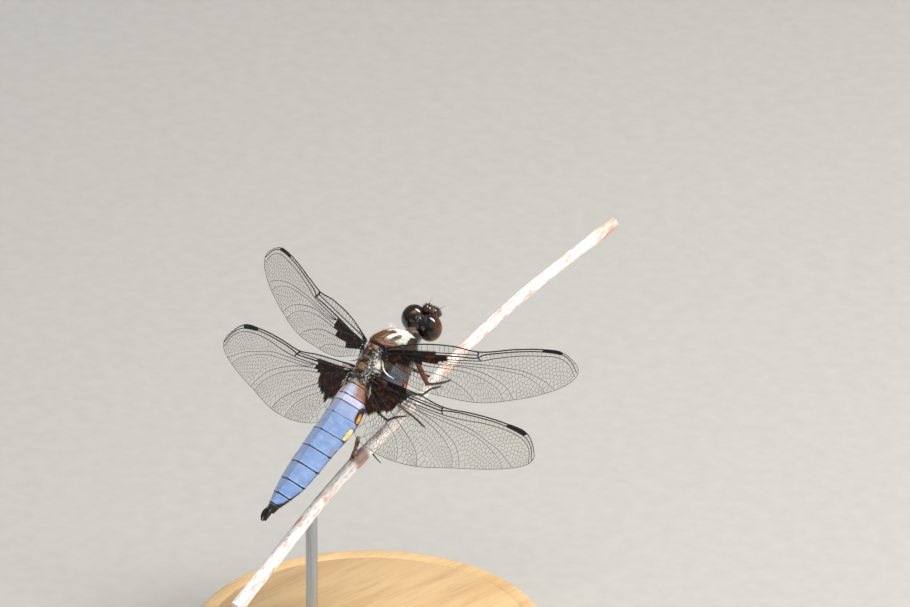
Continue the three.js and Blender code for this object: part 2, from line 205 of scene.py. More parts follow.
def eye_lens():
    """Compound eye: thousands of tiny lenses under clear cuticle, which give a deep wet gloss over brown."""
    material, node = new_material("compound_eye_cuticle")
    place = node("TexCoord", out="Object")
    colour = node("Attribute", **MARKINGS)
    cloud = node("TexNoise", {"Vector": place, "Scale": per_mm(0.9), "Detail": 3})
    shade = node("ValToRGB", {"Fac": cloud}, stops=[(0.35, 0.62), (0.7, 1.25)])
    facets = node("TexVoronoi", {"Vector": place, "Scale": per_mm(0.075)}, feature="F1")
    return finished(material, node, {
        "Base Color": node("Mix", {"Factor": 1.0, "A": colour, "B": shade}, **MULTIPLIED),
        "Roughness": 0.12,
        "IOR": 1.5,
        "Specular IOR Level": 0.5,
        "Coat Weight": 0.4,
        "Coat Roughness": 0.03,
        "Normal": node("Bump", {"Height": facets, "Distance": 0.008 * MM, "Strength": 0.3}),
    })


def painted_cuticle(name, roughness, grain_mm, depth_mm, coat=0.0, spread=0.25):
    """Cuticle that carries the painted markings, with fine pitting that breaks up its shine."""
    material, node = new_material(name)
    place = node("TexCoord", out="Object")
    colour = node("Attribute", **MARKINGS)
    cloud = node("TexNoise", {"Vector": place, "Scale": per_mm(6 * grain_mm), "Detail": 5})
    pits = node("TexNoise", {"Vector": place, "Scale": per_mm(grain_mm), "Detail": 3})
    shade = node("ValToRGB", {"Fac": cloud}, stops=[(0.3, 1 - spread), (0.7, 1 + spread)])
    dull = [(0.3, roughness - 0.08), (0.7, roughness + 0.1)]
    return finished(material, node, {
        "Base Color": node("Mix", {"Factor": 1.0, "A": colour, "B": shade}, **MULTIPLIED),
        "Roughness": node("ValToRGB", {"Fac": cloud}, stops=dull),
        "IOR": 1.54,
        "Coat Weight": coat,
        "Coat Roughness": 0.12,
        "Normal": node("Bump", {"Height": pits, "Distance": depth_mm * MM, "Strength": 0.7}),
    })


def waxy_bloom():
    """Pruinose wax: a powder over the cuticle that scatters blue, rubbed thin in small scuffs."""
    material, node = new_material("waxy_bloom_on_cuticle")
    place = node("TexCoord", out="Object")
    colour = node("Attribute", **MARKINGS)
    powder = node("TexNoise", {"Vector": place, "Scale": per_mm(0.12), "Detail": 6})
    cloud = node("TexNoise", {"Vector": place, "Scale": per_mm(1.6), "Detail": 4})
    tints = [(0.3, (0.86, 0.88, 0.94, 1)), (0.7, (1.1, 1.08, 1.04, 1))]
    specks = [(0.32, 0.82), (0.46, 1.0), (0.7, 1.06)]
    shade = node("ValToRGB", {"Fac": cloud}, stops=tints)
    clouded = node("Mix", {"Factor": 1.0, "A": colour, "B": shade}, **MULTIPLIED)
    speck = node("ValToRGB", {"Fac": powder}, stops=specks)
    return finished(material, node, {
        "Base Color": node("Mix", {"Factor": 1.0, "A": clouded, "B": speck}, **MULTIPLIED),
        "Roughness": node("Attribute", out="Fac", attribute_name="dullness"),
        "IOR": 1.45,
        "Sheen Weight": 0.25,
        "Sheen Roughness": 0.5,
        "Normal": node("Bump", {"Height": powder, "Distance": 0.02 * MM, "Strength": 0.5}),
    })


def horn(name, dark, light, roughness, grain_mm=0.12):
    """Hardened cuticle of legs and claspers: near-black or red-brown, with a satin shine."""
    material, node = new_material(name)
    place = node("TexCoord", out="Object")
    cloud = node("TexNoise", {"Vector": place, "Scale": per_mm(5 * grain_mm), "Detail": 4})
    pits = node("TexNoise", {"Vector": place, "Scale": per_mm(grain_mm), "Detail": 2})
    dull = [(0.3, roughness), (0.7, roughness + 0.15)]
    return finished(material, node, {
        "Base Color": node("ValToRGB", {"Fac": cloud}, stops=[(0.3, linear(dark)), (0.72, linear(light))]),
        "Roughness": node("ValToRGB", {"Fac": cloud}, stops=dull),
        "IOR": 1.55,
        "Normal": node("Bump", {"Height": pits, "Distance": 0.012 * MM, "Strength": 0.6}),
    })


def wing_film():
    """Wing membrane: a glassy film, faintly smoky, with a fine crinkle that catches the light."""
    material, node = new_material("wing_membrane_film")
    place = node("TexCoord", out="Object")
    film = node("Attribute", attribute_name="film")
    crinkle = node("TexNoise", {"Vector": place, "Scale": per_mm(0.45), "Detail": 2})
    return finished(material, node, {
        "Base Color": film,
        "Alpha": film.node.outputs["Alpha"],
        "Roughness": 0.3,
        "IOR": 1.5,
        "Specular IOR Level": 0.3,
        "Normal": node("Bump", {"Height": crinkle, "Distance": 0.03 * MM, "Strength": 0.5}),
    })


def soft_hair():
    """Hair of the thorax: darker at the root by painted shade, and a little silky along its length."""
    material, node = new_material("insect_hair")
    place = node("TexCoord", out="Object")
    colour = node("Attribute", **MARKINGS)
    cloud = node("TexNoise", {"Vector": place, "Scale": per_mm(0.5), "Detail": 2})
    shade = node("ValToRGB", {"Fac": cloud}, stops=[(0.3, 0.75), (0.7, 1.25)])
    return finished(material, node, {
        "Base Color": node("Mix", {"Factor": 1.0, "A": colour, "B": shade}, **MULTIPLIED),
        "Roughness": 0.6,
        "Sheen Weight": 0.2,
    })


def weathered_stem():
    """Dead reed stem bleached by the sun: chalky cream, with fibres and pink-brown flecks along it."""
    material, node = new_material("weathered_dry_stem")
    lie = node("Attribute", out="Vector", attribute_name="lie")
    long, longer, longest = (node("Mapping", {"Vector": lie, "Scale": (1, 1, z)}) for z in (0.4, 0.2, 0.05))
    fibre = node("TexNoise", {"Vector": longest, "Scale": per_mm(0.16), "Detail": 5})
    fleck = node("TexNoise", {"Vector": longer, "Scale": per_mm(0.42), "Detail": 6})
    spot = node("TexNoise", {"Vector": long, "Scale": per_mm(0.3), "Detail": 4})
    drift = node("TexNoise", {"Vector": lie, "Scale": per_mm(7.0), "Detail": 2})
    marks = node("Attribute", **MARKINGS)
    streak = node("ValToRGB", {"Fac": fibre}, stops=[(0.35, 0.88), (0.55, 1.02)])
    drifted = {"Value": drift, "Value_001": 0.28, "Value_002": fleck}
    gate = node("Math", drifted, operation="MULTIPLY_ADD")
    flecked = node("ValToRGB", {"Fac": gate}, stops=[(0.665, 0.0), (0.8, 0.8)])
    spotted = node("ValToRGB", {"Fac": spot}, stops=[(0.6, 0.0), (0.7, 0.7)])
    base = node("Mix", {"Factor": 1.0, "A": marks, "B": streak}, **MULTIPLIED)
    browned = node("Mix", {"Factor": flecked, "A": base, "B": linear("#c98f74")}, data_type="RGBA")
    greyed = node("Mix", {"Factor": spotted, "A": browned, "B": linear("#a3959b")}, data_type="RGBA")
    return finished(material, node, {
        "Base Color": greyed,
        "Roughness": 0.72,
        "IOR": 1.45,
        "Normal": node("Bump", {"Height": fibre, "Distance": 0.05 * MM, "Strength": 0.6}),
    })


def turned_maple():
    """Oiled maple: fine straight grain with pores, satin from the lathe."""
    material, node = new_material("oiled_turned_maple")
    place = node("TexCoord", out="Object")
    wide, fine = (node("Mapping", {"Vector": place, "Scale": (1, y, 1)}) for y in (0.12, 0.06))
    rings = node("TexNoise", {"Vector": wide, "Scale": per_mm(7.0), "Detail": 3})
    pores = node("TexNoise", {"Vector": fine, "Scale": per_mm(0.5), "Detail": 4})
    tones = [(0.3, linear("#c49d6c")), (0.5, linear("#d9b888")), (0.7, linear("#c8a273"))]
    tone = node("ValToRGB", {"Fac": rings}, stops=tones)
    pored = node("ValToRGB", {"Fac": pores}, stops=[(0.35, 0.86), (0.5, 1.0)])
    return finished(material, node, {
        "Base Color": node("Mix", {"Factor": 1.0, "A": tone, "B": pored}, **MULTIPLIED),
        "Roughness": 0.42,
        "IOR": 1.48,
        "Coat Weight": 0.15,
        "Coat Roughness": 0.25,
        "Normal": node("Bump", {"Height": pores, "Distance": 0.03 * MM, "Strength": 0.3}),
    })


def brushed_steel():
    """Drawn steel rod, brushed along its length, so that its highlight is one long soft line."""
    material, node = new_material("brushed_steel_rod")
    along_rod = node("Mapping", {"Vector": node("TexCoord", out="Object"), "Scale": (1, 1, 0.02)})
    lines = node("TexNoise", {"Vector": along_rod, "Scale": per_mm(0.15), "Detail": 3})
    tones = [(0.3, linear("#b4b6b9")), (0.7, linear("#cfd1d3"))]
    return finished(material, node, {
        "Base Color": node("ValToRGB", {"Fac": lines}, stops=tones),
        "Metallic": 1.0,
        "Roughness": node("ValToRGB", {"Fac": lines}, stops=[(0.3, 0.24), (0.7, 0.38)]),
        "Normal": node("Bump", {"Height": lines, "Distance": 0.01 * MM, "Strength": 0.3}),
    })


def studio_floor():
    """Matt pale studio board."""
    material, node = new_material("matt_studio_board")
    tooth = node("TexNoise", {"Vector": node("TexCoord", out="Object"), "Scale": per_mm(3.0), "Detail": 3})
    tones = [(0.3, linear("#adaca8")), (0.7, linear("#b2b1ad"))]
    return finished(material, node, {
        "Base Color": node("ValToRGB", {"Fac": tooth}, stops=tones),
        "Roughness": 0.9,
    })


# ------- modelling helpers
def nothing_selected():
    """Leaves edit mode and deselects everything."""
    if bpy.context.object and bpy.context.object.mode == "EDIT":
        bpy.ops.object.mode_set(mode="OBJECT")
    bpy.ops.object.select_all(action="DESELECT")


def choose(*pieces):
    """Selects only these pieces, the first one active."""
    nothing_selected()
    for piece in pieces:
        piece.select_set(True)
    bpy.context.view_layer.objects.active = pieces[0]


@contextmanager
def editing(piece):
    """Edit mode with all of a piece selected, for as long as the block lasts."""
    choose(piece)
    bpy.ops.object.mode_set(mode="EDIT")
    bpy.ops.mesh.select_all(action="SELECT")
    yield
    bpy.ops.object.mode_set(mode="OBJECT")


def take_new(name):
    """The piece that an operator has just made, under its own name."""
    piece = bpy.context.object
    piece.name = name
    piece.data.name = name
    return piece


def loft(name, rings, marks=None):
    """A closed skin: a filled circle laid on the first ring, then extruded from ring to ring.

    marks give each point its place on the straightened shape."""
    nothing_selected()
    bpy.ops.mesh.primitive_circle_add(vertices=len(rings[0]), fill_type="NGON")
    piece = take_new(name)
    count = len(rings[0])
    with editing(piece):
        mesh = bmesh.from_edit_mesh(piece.data)
        mesh.verts.layers.int.new("side")
        mesh.verts.layers.float_vector.new("lie")
        side, lie = mesh.verts.layers.int["side"], mesh.verts.layers.float_vector["lie"]
        mesh.verts.ensure_lookup_table()
        for i, vertex in enumerate(mesh.verts):
            vertex[side] = i
            vertex.co = rings[0][i]
        for ring in rings[1:]:
            bpy.ops.mesh.extrude_region_move()
            mesh.verts.ensure_lookup_table()
            for vertex in mesh.verts[-count:]:
                vertex.co = ring[vertex[side]]
        if marks is not None:
            for i, vertex in enumerate(mesh.verts):
                vertex[lie] = marks[i // count][vertex[side]]
        bpy.ops.mesh.select_all(action="SELECT")
        bpy.ops.mesh.normals_make_consistent(inside=False)
    return piece


def rows_of(items, what, kind=np.float32):
    """Three numbers of each item, as rows."""
    rows = np.zeros(len(items) * 3, kind)
    items.foreach_get(what, rows)
    return rows.reshape(-1, 3)


def fill(items, what, values):
    """Gives each item its own values."""
    items.foreach_set(what, np.asarray(values, np.float32).ravel())


def vertices_of(piece, what="co"):
    """The places of a piece's points, or their normals, as rows."""
    return rows_of(piece.data.vertices, what).astype(float)


def move_points(piece, points):
    """Gives a piece's points new places."""
    fill(piece.data.vertices, "co", points)
    piece.data.update()


def push(piece, how):
    """Moves the piece's points by a function of their places."""
    points = vertices_of(piece)
    move_points(piece, points + how(points))


def ball(name, centre, radii, turn=Matrix.Identity(4), around=32):
    """An egg from a sphere primitive, its poles fore and aft."""
    nothing_selected()
    bpy.ops.mesh.primitive_uv_sphere_add(segments=around, ring_count=around * 5 // 8, radius=1)
    piece = take_new(name)
    lain = turned(90, "X")
    scale = Matrix.Diagonal((*radii, 1))
    piece.data.transform(Matrix.Translation(centre) @ turn @ scale @ lain)
    return piece


def joined(name, pieces):
    """The pieces as one, under a new name."""
    choose(*pieces)
    if len(pieces) > 1:
        bpy.ops.object.join()
    return take_new(name)


def new_piece(name, data):
    """An object for mesh, curve, camera or lamp data, in the scene and chosen."""
    piece = bpy.data.objects.new(name, data)
    bpy.context.scene.collection.objects.link(piece)
    choose(piece)
    return piece


def mesh_piece(name, points, faces, edges=()):
    """A piece of joined small shapes, from its points and faces."""
    data = bpy.data.meshes.new(name)
    data.from_pydata([tuple(p) for p in points], edges, faces)
    data.update()
    return new_piece(name, data)


def repeated(faces, size, count):
    """The faces of count copies of a shape that has size points."""
    return [tuple(v + k * size for v in face) for k in range(count) for face in faces]


def copies(name, model, places):
    """One joined mesh of copies of a small model, one at each 4x4 place."""
    points = vertices_of(model)
    faces = [tuple(p.vertices) for p in model.data.polygons]
    places = np.array([np.array(p) for p in places], float)
    spread = np.einsum("nij,kj->nki", places[:, :3, :3], points) + places[:, None, :3, 3]
    return mesh_piece(name, spread.reshape(-1, 3).tolist(), repeated(faces, len(points), len(places)))


def paint(piece, name, colours):
    """Colours at the points: rows of linear RGB or RGBA."""
    colours = np.asarray(colours, float)
    if colours.shape[1] == 3:
        colours = np.hstack([colours, np.ones((len(colours), 1))])
    layer = piece.data.color_attributes.new(name, "FLOAT_COLOR", "POINT")
    fill(layer.data, "color", colours)


def weigh(piece, name, values):
    """A value at each of a piece's points, for its material."""
    layer = piece.data.attributes.new(name, "FLOAT", "POINT")
    fill(layer.data, "value", values)


def settle(piece, home, material, slot, *nodes, angle=None):
    """Puts a finished piece in its place in the shared frame, with its finish and what it stands for."""
    piece.data.transform(home)
    if home.determinant() < 0:  # a mirrored wing's faces turn round
        piece.data.flip_normals()
    piece.data.update()
    piece.data.materials.clear()
    piece.data.materials.append(material)
    choose(piece)
    if angle is None:
        bpy.ops.object.shade_smooth()
    else:
        bpy.ops.object.shade_smooth_by_angle(angle=math.radians(angle))
    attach(piece, "root")
    if nodes:
        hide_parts(*nodes)
    return piece


# ------- curves
def along(rows):
    """A smooth function through the rows of a table, whose first column is the place."""
    table = np.array(rows, float)
    place, values = table[:, 0], table[:, 1:]
    slope = np.zeros_like(values)
    slope[1:-1] = (values[2:] - values[:-2]) / (place[2:] - place[:-2])[:, None]
    slope[0] = (values[1] - values[0]) / (place[1] - place[0])
    slope[-1] = (values[-1] - values[-2]) / (place[-1] - place[-2])

    def at(where):
        where = np.clip(np.atleast_1d(np.asarray(where, float)), place[0], place[-1])
        i = np.clip(np.searchsorted(place, where, "right") - 1, 0, len(place) - 2)
        gap = (place[i + 1] - place[i])[:, None]
        t = ((where - place[i])[:, None]) / gap
        a = 2 * t**3 - 3 * t**2 + 1
        b = t**3 - 2 * t**2 + t
        c = t**3 - t**2
        return a * values[i] + b * slope[i] * gap + (1 - a) * values[i + 1] + c * slope[i + 1] * gap

    return at


def through(points, steps=24):
    """Points of a smooth curve through the given ones, closely spaced."""
    given = np.array(points, float)
    if len(given) == 2:
        return given[0] + (given[1] - given[0]) * np.linspace(0, 1, steps)[:, None]
    place = np.concatenate([[0], np.cumsum(np.linalg.norm(np.diff(given, axis=0), axis=1) ** 0.75)])
    curve = along(np.column_stack([place, given]))
    return curve(np.linspace(0, place[-1], steps * (len(given) - 1)))


def even_steps(line, count):
    """The curve's points spaced evenly, count of them."""
    reach = np.concatenate([[0], np.cumsum(np.linalg.norm(np.diff(line, axis=0), axis=1))])
    where = np.linspace(0, reach[-1], count)
    return np.column_stack([np.interp(where, reach, line[:, i]) for i in range(line.shape[1])]), where


def stroke(points, count):
    """A smooth curve through a few points as count even ones, and how far along it each is, 0 to 1."""
    line, reach = even_steps(through(points), count)
    return line, reach / reach[-1]


def unit(rows):
    """The rows, each shortened or lengthened to 1."""
    return rows / np.linalg.norm(rows, axis=1)[:, None]


def ways_across(line, first=(0.3, 0.2, 1.0)):
    """Along, right and up at each point of a curve, carried along it without twist."""
    ahead = unit(np.gradient(line, axis=0))
    up = np.array(first, float)
    ups = []
    for tangent in ahead:
        up = up - tangent * up.dot(tangent)
        up /= np.linalg.norm(up)
        ups.append(up)
    ups = np.array(ups)
    return ahead, np.cross(ahead, ups), ups


def tube_rings(line, radii, sides, first=(0.3, 0.2, 1.0), flatten=1.0, round_ends=True):
    """Rings round a curve, closed by rounded ends."""
    line, radii = np.asarray(line, float), np.asarray(radii, float)
    ahead, right, up = ways_across(line, first)
    turns = np.linspace(0, 2 * np.pi, sides, endpoint=False)

    def ring(i, size, push):
        centre = line[i] + ahead[i] * push
        across = np.cos(turns)[:, None] * right[i] + flatten * np.sin(turns)[:, None] * up[i]
        return centre + across * size

    rings = [ring(i, radii[i], 0) for i in range(len(line))]
    if round_ends:
        for share in (0.35, 0.7, 0.95):
            drop = math.sqrt(1 - share**2)
            rings.insert(0, ring(0, radii[0] * drop, -radii[0] * share * 0.8))
            rings.append(ring(-1, radii[-1] * drop, radii[-1] * share * 0.8))
    return rings


def blend(value, low, high):
    """0 at low and before it, 1 at high and beyond, smooth between. It falls where low is the greater."""
    t = np.clip((value - low) / (high - low), 0, 1)
    return t * t * (3 - 2 * t)


def hump(value, width, middle=0.0):
    """1 at the middle, falling away smoothly over the width on both sides."""
    return np.exp(-(((value - middle) / width) ** 2))


def rough(points, size, seed=0):
    """A smooth random value from about -1 to 1 at each point, with features of the given size."""
    shift = Vector((seed * 17.3, seed * 5.1, seed * 9.7))
    return np.array([noise.noise(Vector(p) / size + shift) for p in points])


def plain(points, colour):
    """Rows of one colour, one for each point."""
    return np.tile(np.array(linear(colour)[:3]), (len(points), 1))


def over(below, colour, share):
    """Lays a colour over rows of colours, by a share for each."""
    share = np.clip(np.broadcast_to(share, len(below)), 0, 1)[:, None]
    return below * (1 - share) + np.array(linear(colour)[:3]) * share


def layered(below, layers):
    """Lays colours over rows of colours one after the other, each by its own shares."""
    for colour, share in layers:
        below = over(below, colour, share)
    return below


# ------- abdomen
# Seams between the ten segments: distance along, half width, keel above the side edge, belly below it.
ABDOMEN_RINGS = [
    [-1.6, 2.3, 1.6, 1.5],
    [-0.5, 2.7, 1.8, 1.6],
    [1.6, 3.25, 2.05, 1.5],
    [5.3, 3.43, 2.1, 1.4],
    [8.9, 3.5, 2.1, 1.4],
    [12.3, 3.45, 2.0, 1.4],
    [15.6, 3.3, 1.85, 1.3],
    [19.0, 2.85, 1.65, 1.2],
    [21.8, 2.08, 1.3, 1.0],
    [23.8, 1.28, 1.0, 0.8],
    [25.2, 0.95, 0.85, 0.6],
]
SEAMS = [row[0] for row in ABDOMEN_RINGS]
SEAM_DEPTHS = (1, 0.85, 0.4, 0.65, 0.85, 1, 1, 1, 1)  # how deep and dark each seam is
SEAM_WIDTHS = (0.05, 0.08, 0.045, 0.06, 0.075, 0.09, 0.1, 0.11, 0.14)
CROSS_RIDGE = 2.9  # the raised line across the third segment
BELLY_GROOVE = 0.64  # how far out the grooves lie that let the belly breathe
ring_at = along(ABDOMEN_RINGS)
# A ring's points from keel to side edge, and from there under the belly, as shares of the half width.
ROOF_STEPS = [0, 0.012, 0.03, 0.06, 0.11, 0.18, 0.25, 0.32, 0.39, 0.46, 0.53, 0.6, 0.66, 0.7]
ROOF_STEPS += [0.73, 0.76, 0.785, 0.81, 0.835, 0.86, 0.88, 0.9, 0.92, 0.94, 0.957, 0.972, 0.985, 0.993, 1]
BELLY_STEPS = [0.985, 0.94, 0.87, 0.78, 0.7, 0.64, 0.58, 0.48, 0.32, 0.16, 0]


def abdomen_ring(place):
    """One ring of the roof-shaped abdomen, with the lip and groove of a seam near by."""
    half, keel, belly = ring_at(place)[0]
    seams = list(zip(SEAMS[1:-1], SEAM_DEPTHS))
    lip = sum(0.07 * depth * hump(place, 0.13, seam - 0.16) for seam, depth in seams)
    groove = sum(0.09 * depth * hump(place, 0.07, seam + 0.05) for seam, depth in seams)
    ridge = 0.05 * hump(place, 0.09, CROSS_RIDGE)
    grow = lip - groove + ridge
    right = [(a, True) for a in ROOF_STEPS] + [(a, False) for a in BELLY_STEPS]
    left = [(-a, top) for a, top in reversed(right[1:-1])]
    ring = []
    for across, top in right + left:
        if top:
            height = keel * (1 - abs(across) ** 1.4) + grow
            height += 0.07 * hump(across * half, 0.07)
        else:
            height = -belly * math.sqrt(1 - across**2) - grow
            height += 0.22 * hump(abs(across), 0.05, BELLY_GROOVE)
        ring.append(((half + grow * 0.6) * across, -place, height - keel))
    return ring


def abdomen_places():
    """Where the rings lie: close together at each seam, an eighth of a millimetre apart between them."""
    places = [SEAMS[0]]
    for start, end in zip(SEAMS, SEAMS[1:]):
        count = max(3, round((end - start - 0.6) / 0.12))
        middle = np.linspace(start + 0.3, end - 0.3, count)
        places += [start + 0.05, start + 0.1, start + 0.18, *middle, end - 0.2, end - 0.12, end - 0.05, end]
    near_ridge = [CROSS_RIDGE + step for step in (-0.16, -0.08, -0.03, 0.03, 0.08, 0.16)]
    places = [p for p in places if abs(p - CROSS_RIDGE) > 0.2] + near_ridge
    return sorted(set(np.round(places, 3).tolist()))


def spot(place, across, start, end, inner, outer):
    """A rounded patch on the side of a segment: 1 at its middle, 0 at its rim and less beyond."""
    u = (place - (start + end) / 2) / ((end - start) / 2)
    v = (across - (inner + outer) / 2) / ((outer - inner) / 2)
    return 1 - (np.abs(u) ** 2.4 + np.abs(v) ** 2.4) ** (1 / 2.4)


def abdomen_ink(points, place, across, waver):
    """How black the seams, the cross ridge, the side edges and the tail are."""
    keel_and_edge = np.maximum(blend(across, 0.8, 0.95), blend(across, 0.09, 0.03))
    wider = 0.16 * blend(across, 0.86, 0.99) + 0.09 * hump(points[:, 0], 0.3) + 0.9 * waver
    inks = [0.95 * blend(np.abs(place - CROSS_RIDGE) + waver * 0.3, 0.13, 0.045)]
    for seam, width, depth in zip(SEAMS[1:-1], SEAM_WIDTHS, SEAM_DEPTHS):
        reach = width + wider
        line = blend(np.abs(place - seam - 0.03), reach * 1.15, reach * 0.75)
        inks.append(line * np.maximum(depth, keel_and_edge))
    edge_width = 0.006 + 0.15 * blend(place, 19.0, 23.0)
    edge = blend(across + waver * 0.4, 1 - edge_width, 1 - edge_width * 0.4)
    inks.append(edge * blend(place, 1, 3))
    inks.append(blend(place + 3.0 * across + waver * 3, 25.0, 25.8))
    inks.append(blend(place, 23.7, 23.9))
    return np.max(inks, axis=0)


def paint_abdomen(points):
    """Powder blue with black seams and edges, brown flanks in front and yellow side spots."""
    place, x = -points[:, 1], np.abs(points[:, 0])
    half, keel, _ = ring_at(place).T
    across = x / half
    top = points[:, 2] > -keel - 0.02
    waver = rough(points, 0.7, 3) * 0.05 + rough(points, 0.22, 4) * 0.03
    ink = abdomen_ink(points, place, across, waver)
    worn = blend(rough(points * (1, 0.6, 1), 1.0, 18), 0.1, 0.5) * blend(place, 2, 5)
    fresh = blend(rough(points * (1, 0.8, 1), 0.6, 24), 0.1, 0.45) * blend(place, 4, 7)
    flank = blend(across + waver * 2, 0.2, 0.52) * blend(place + waver, 1.9, 1.2)
    border = spot(place, across, 2.2, 5.5, 0.78, 1.08)
    third = spot(place, across, 3.3, 5.3, 0.88, 1.01)
    fourth = spot(place, across, 6.3, 8.8, 0.83, 1.01)
    fifth = spot(place, across, 10.4, 12.1, 0.8, 0.97)
    colour = layered(plain(points, "#7f9bc9"), [
        ("#9cabcf", blend(place, 6.2, 3.4)),
        ("#bcc3dc", blend(place, 2.9, 1.6)),
        ("#c9cae0", 0.85 * blend(place, 1.45, 1.65) * blend(place, 3.1, 2.9)),
        ("#8b7c74", blend(place, 0.4, -0.9)),
        ("#6d91c6", 0.6 * blend(place, 17.5, 22.5)),
        ("#7287b4", 0.35 * blend(across + waver, 0.7, 0.95)),
        ("#8c9ab8", 0.4 * worn),
        ("#93b0dc", 0.4 * fresh),
        ("#8c5a33", 0.85 * flank),
        ("#9c4f17", 0.7 * flank * blend(across + waver, 0.62, 0.8)),
        ("#3a2015", flank * blend(across + waver, 0.86, 0.97)),
        ("#4d6390", 0.55 * hump(x, 0.075) * blend(place, 0, 2)),
        ("#351509", blend(border + 0.6 * waver, 0.0, 0.16) * top),
        ("#8d8a8c", 0.8 * blend(fifth + waver * 2, 0.0, 0.5) * top),
        ("#0c0b0c", ink * (0.9 + 0.1 * top)),
        ("#d18a12", blend(third + 0.4 * waver, 0.0, 0.12) * top),
        ("#f0c04a", 0.8 * blend(third, 0.45, 0.8) * top),
        ("#33291d", 0.9 * blend(fourth + 0.4 * waver, -0.12, -0.04) * top),
        ("#e6d48c", blend(fourth + 0.4 * waver, 0.0, 0.1) * top),
        ("#3c3d45", 0.75 * (~top & (x < 0.94 * half))),
        ("#15110f", hump(across, 0.05, BELLY_GROOVE) * ~top),
    ])
    return colour, np.where((third > 0.1) | (fourth > 0.1), 0.42, 0.66 - 0.3 * np.clip(ink, 0, 1))


def make_abdomen(bloom):
    """One skin over all ten segments, a little fuller on the right of the third and fourth."""
    piece = loft("abdomen_skin", [abdomen_ring(place) for place in abdomen_places()])
    points = vertices_of(piece)
    soft = rough(points, 1.1, 5) * 0.05 + rough(points, 0.35, 6) * 0.015
    spread = hump(points[:, 1], 4.2, -6.0) * blend(points[:, 0], 0.4, 3.4)
    pushed = points + spread[:, None] * (0.8, 0.15, -0.2)
    move_points(piece, pushed + vertices_of(piece, "normal") * soft[:, None])
    colour, dull = paint_abdomen(points)
    paint(piece, "markings", colour)
    weigh(piece, "dullness", dull)
    nodes = [f"abdomen_{i}" for i in range(1, 11)]
    return settle(piece, ABDOMEN, bloom, "blue_bloom", *nodes, angle=50)


CERCUS_LINE = [(0.36, -24.8, -0.5), (0.42, -25.6, -0.4), (0.36, -26.5, -0.45), (0.17, -27.15, -0.62)]
EPIPROCT_LINE = [(0, -24.8, -1.1), (0, -25.9, -1.2), (0, -26.75, -1.22)]


def make_claspers(black):
    """Two upper claspers and the blunt one below them, at the tail."""
    for hand, side in SIDES.items():
        line, share = stroke([(side * x, y, z) for x, y, z in CERCUS_LINE], 22)
        girth = 0.26 + 0.1 * np.sin(np.pi * np.minimum(share * 1.15, 1)) - 0.15 * share**4
        piece = loft(f"cercus_{hand}_horn", tube_rings(line, girth, 14, flatten=0.8))
        settle(piece, ABDOMEN, black, "black_cuticle", f"cercus_{hand}")
    line = stroke(EPIPROCT_LINE, 14)[0]
    piece = loft("epiproct_horn", tube_rings(line, np.linspace(0.42, 0.2, 14), 14, flatten=0.7))
    settle(piece, ABDOMEN, black, "black_cuticle", "epiproct")


# ------- thorax
# Sections along the body: place, half width, top, bottom.
THORAX_SECTIONS = [
    [-4.9, 1.4, -2.2, -4.0],
    [-4.3, 2.5, -1.2, -5.4],
    [-2.8, 3.3, -0.4, -7.5],
    [-0.8, 3.75, 0.25, -9.0],
    [1.4, 3.9, 0.8, -9.4],
    [3.4, 3.8, 0.75, -9.1],
    [5.0, 3.5, 0.1, -8.6],
    [6.3, 3.0, -1.1, -8.0],
    [7.2, 2.45, -2.3, -7.4],
    [7.9, 1.7, -3.6, -6.8],
    [8.2, 0.9, -4.6, -6.0],
]
HAIR_ROOM = 0.12  # the skin lies this far inside the coat
CREST_LEAN = 0.45  # the crest of the back leans this far to the right in front
SKIN_GRAIN = 0.105  # size of the cells that the skin is melted together from
thorax_at = along(THORAX_SECTIONS)

# Where the right legs leave the breast, and where the front edges of the right wings are hinged.
HIPS = {"fore": (1.3, 5.9, -7.9), "mid": (1.6, 3.2, -8.7), "hind": (1.7, 0.4, -8.6)}
WING_HINGES = {"fore": (2.62, 2.28, 0.0), "hind": (2.72, -2.23, -1.59)}


def thorax_ring(place, sides=56):
    """One ring of the skin of the thorax, a little narrower above than below."""
    half, top, bottom = thorax_at(place)[0]
    half, top, bottom = half - HAIR_ROOM, top - HAIR_ROOM, bottom + HAIR_ROOM
    turns = np.linspace(0, 2 * np.pi, sides, endpoint=False)
    across = half * np.sin(turns) * (1 - 0.16 * np.cos(turns))
    height = (top + bottom) / 2 + (top - bottom) / 2 * np.cos(turns)
    return np.column_stack([across, np.full(sides, place), height])


def around_thorax(points):
    """Turn from the back down the side, in degrees, depth below the back, and offset from the crest."""
    rows = thorax_at(points[:, 1])
    middle = (rows[:, 1] + rows[:, 2]) / 2
    lean = CREST_LEAN * blend(points[:, 1], 1.5, 4.5)
    x = points[:, 0] - lean
    return np.degrees(np.arctan2(np.abs(x), points[:, 2] - middle)), np.maximum(0, 0.3 - points[:, 2]), x


def sutures(points):
    """Signed distance along the body from the seams of the side plates: shoulder, first and second."""
    _, deep, _ = around_thorax(points)
    y = points[:, 1]
    shoulder = y - (2.45 + 0.72 * np.minimum(deep, 2.6) + 0.14 * np.maximum(deep - 2.6, 0))
    first = y - (0.95 + 0.3 * deep)
    second = y - (-1.75 + 0.32 * deep)
    return shoulder, first, second


# Plates between the wings: across, along, half width, half length, rise, colour.
BACK_PLATES = [
    [0.86, 1.62, 0.56, 0.46, 0.15, "#a0561a"],
    [0.0, 0.85, 0.36, 0.5, 0.16, "#3c2416"],
    [0.0, -0.4, 0.74, 0.36, 0.1, "#764420"],
    [0.95, -0.9, 0.36, 0.5, 0.08, "#38241a"],
    [0.0, -2.2, 0.9, 0.66, 0.14, "#875a24"],
    [0.0, -3.5, 0.6, 0.36, 0.08, "#4b3522"],
]


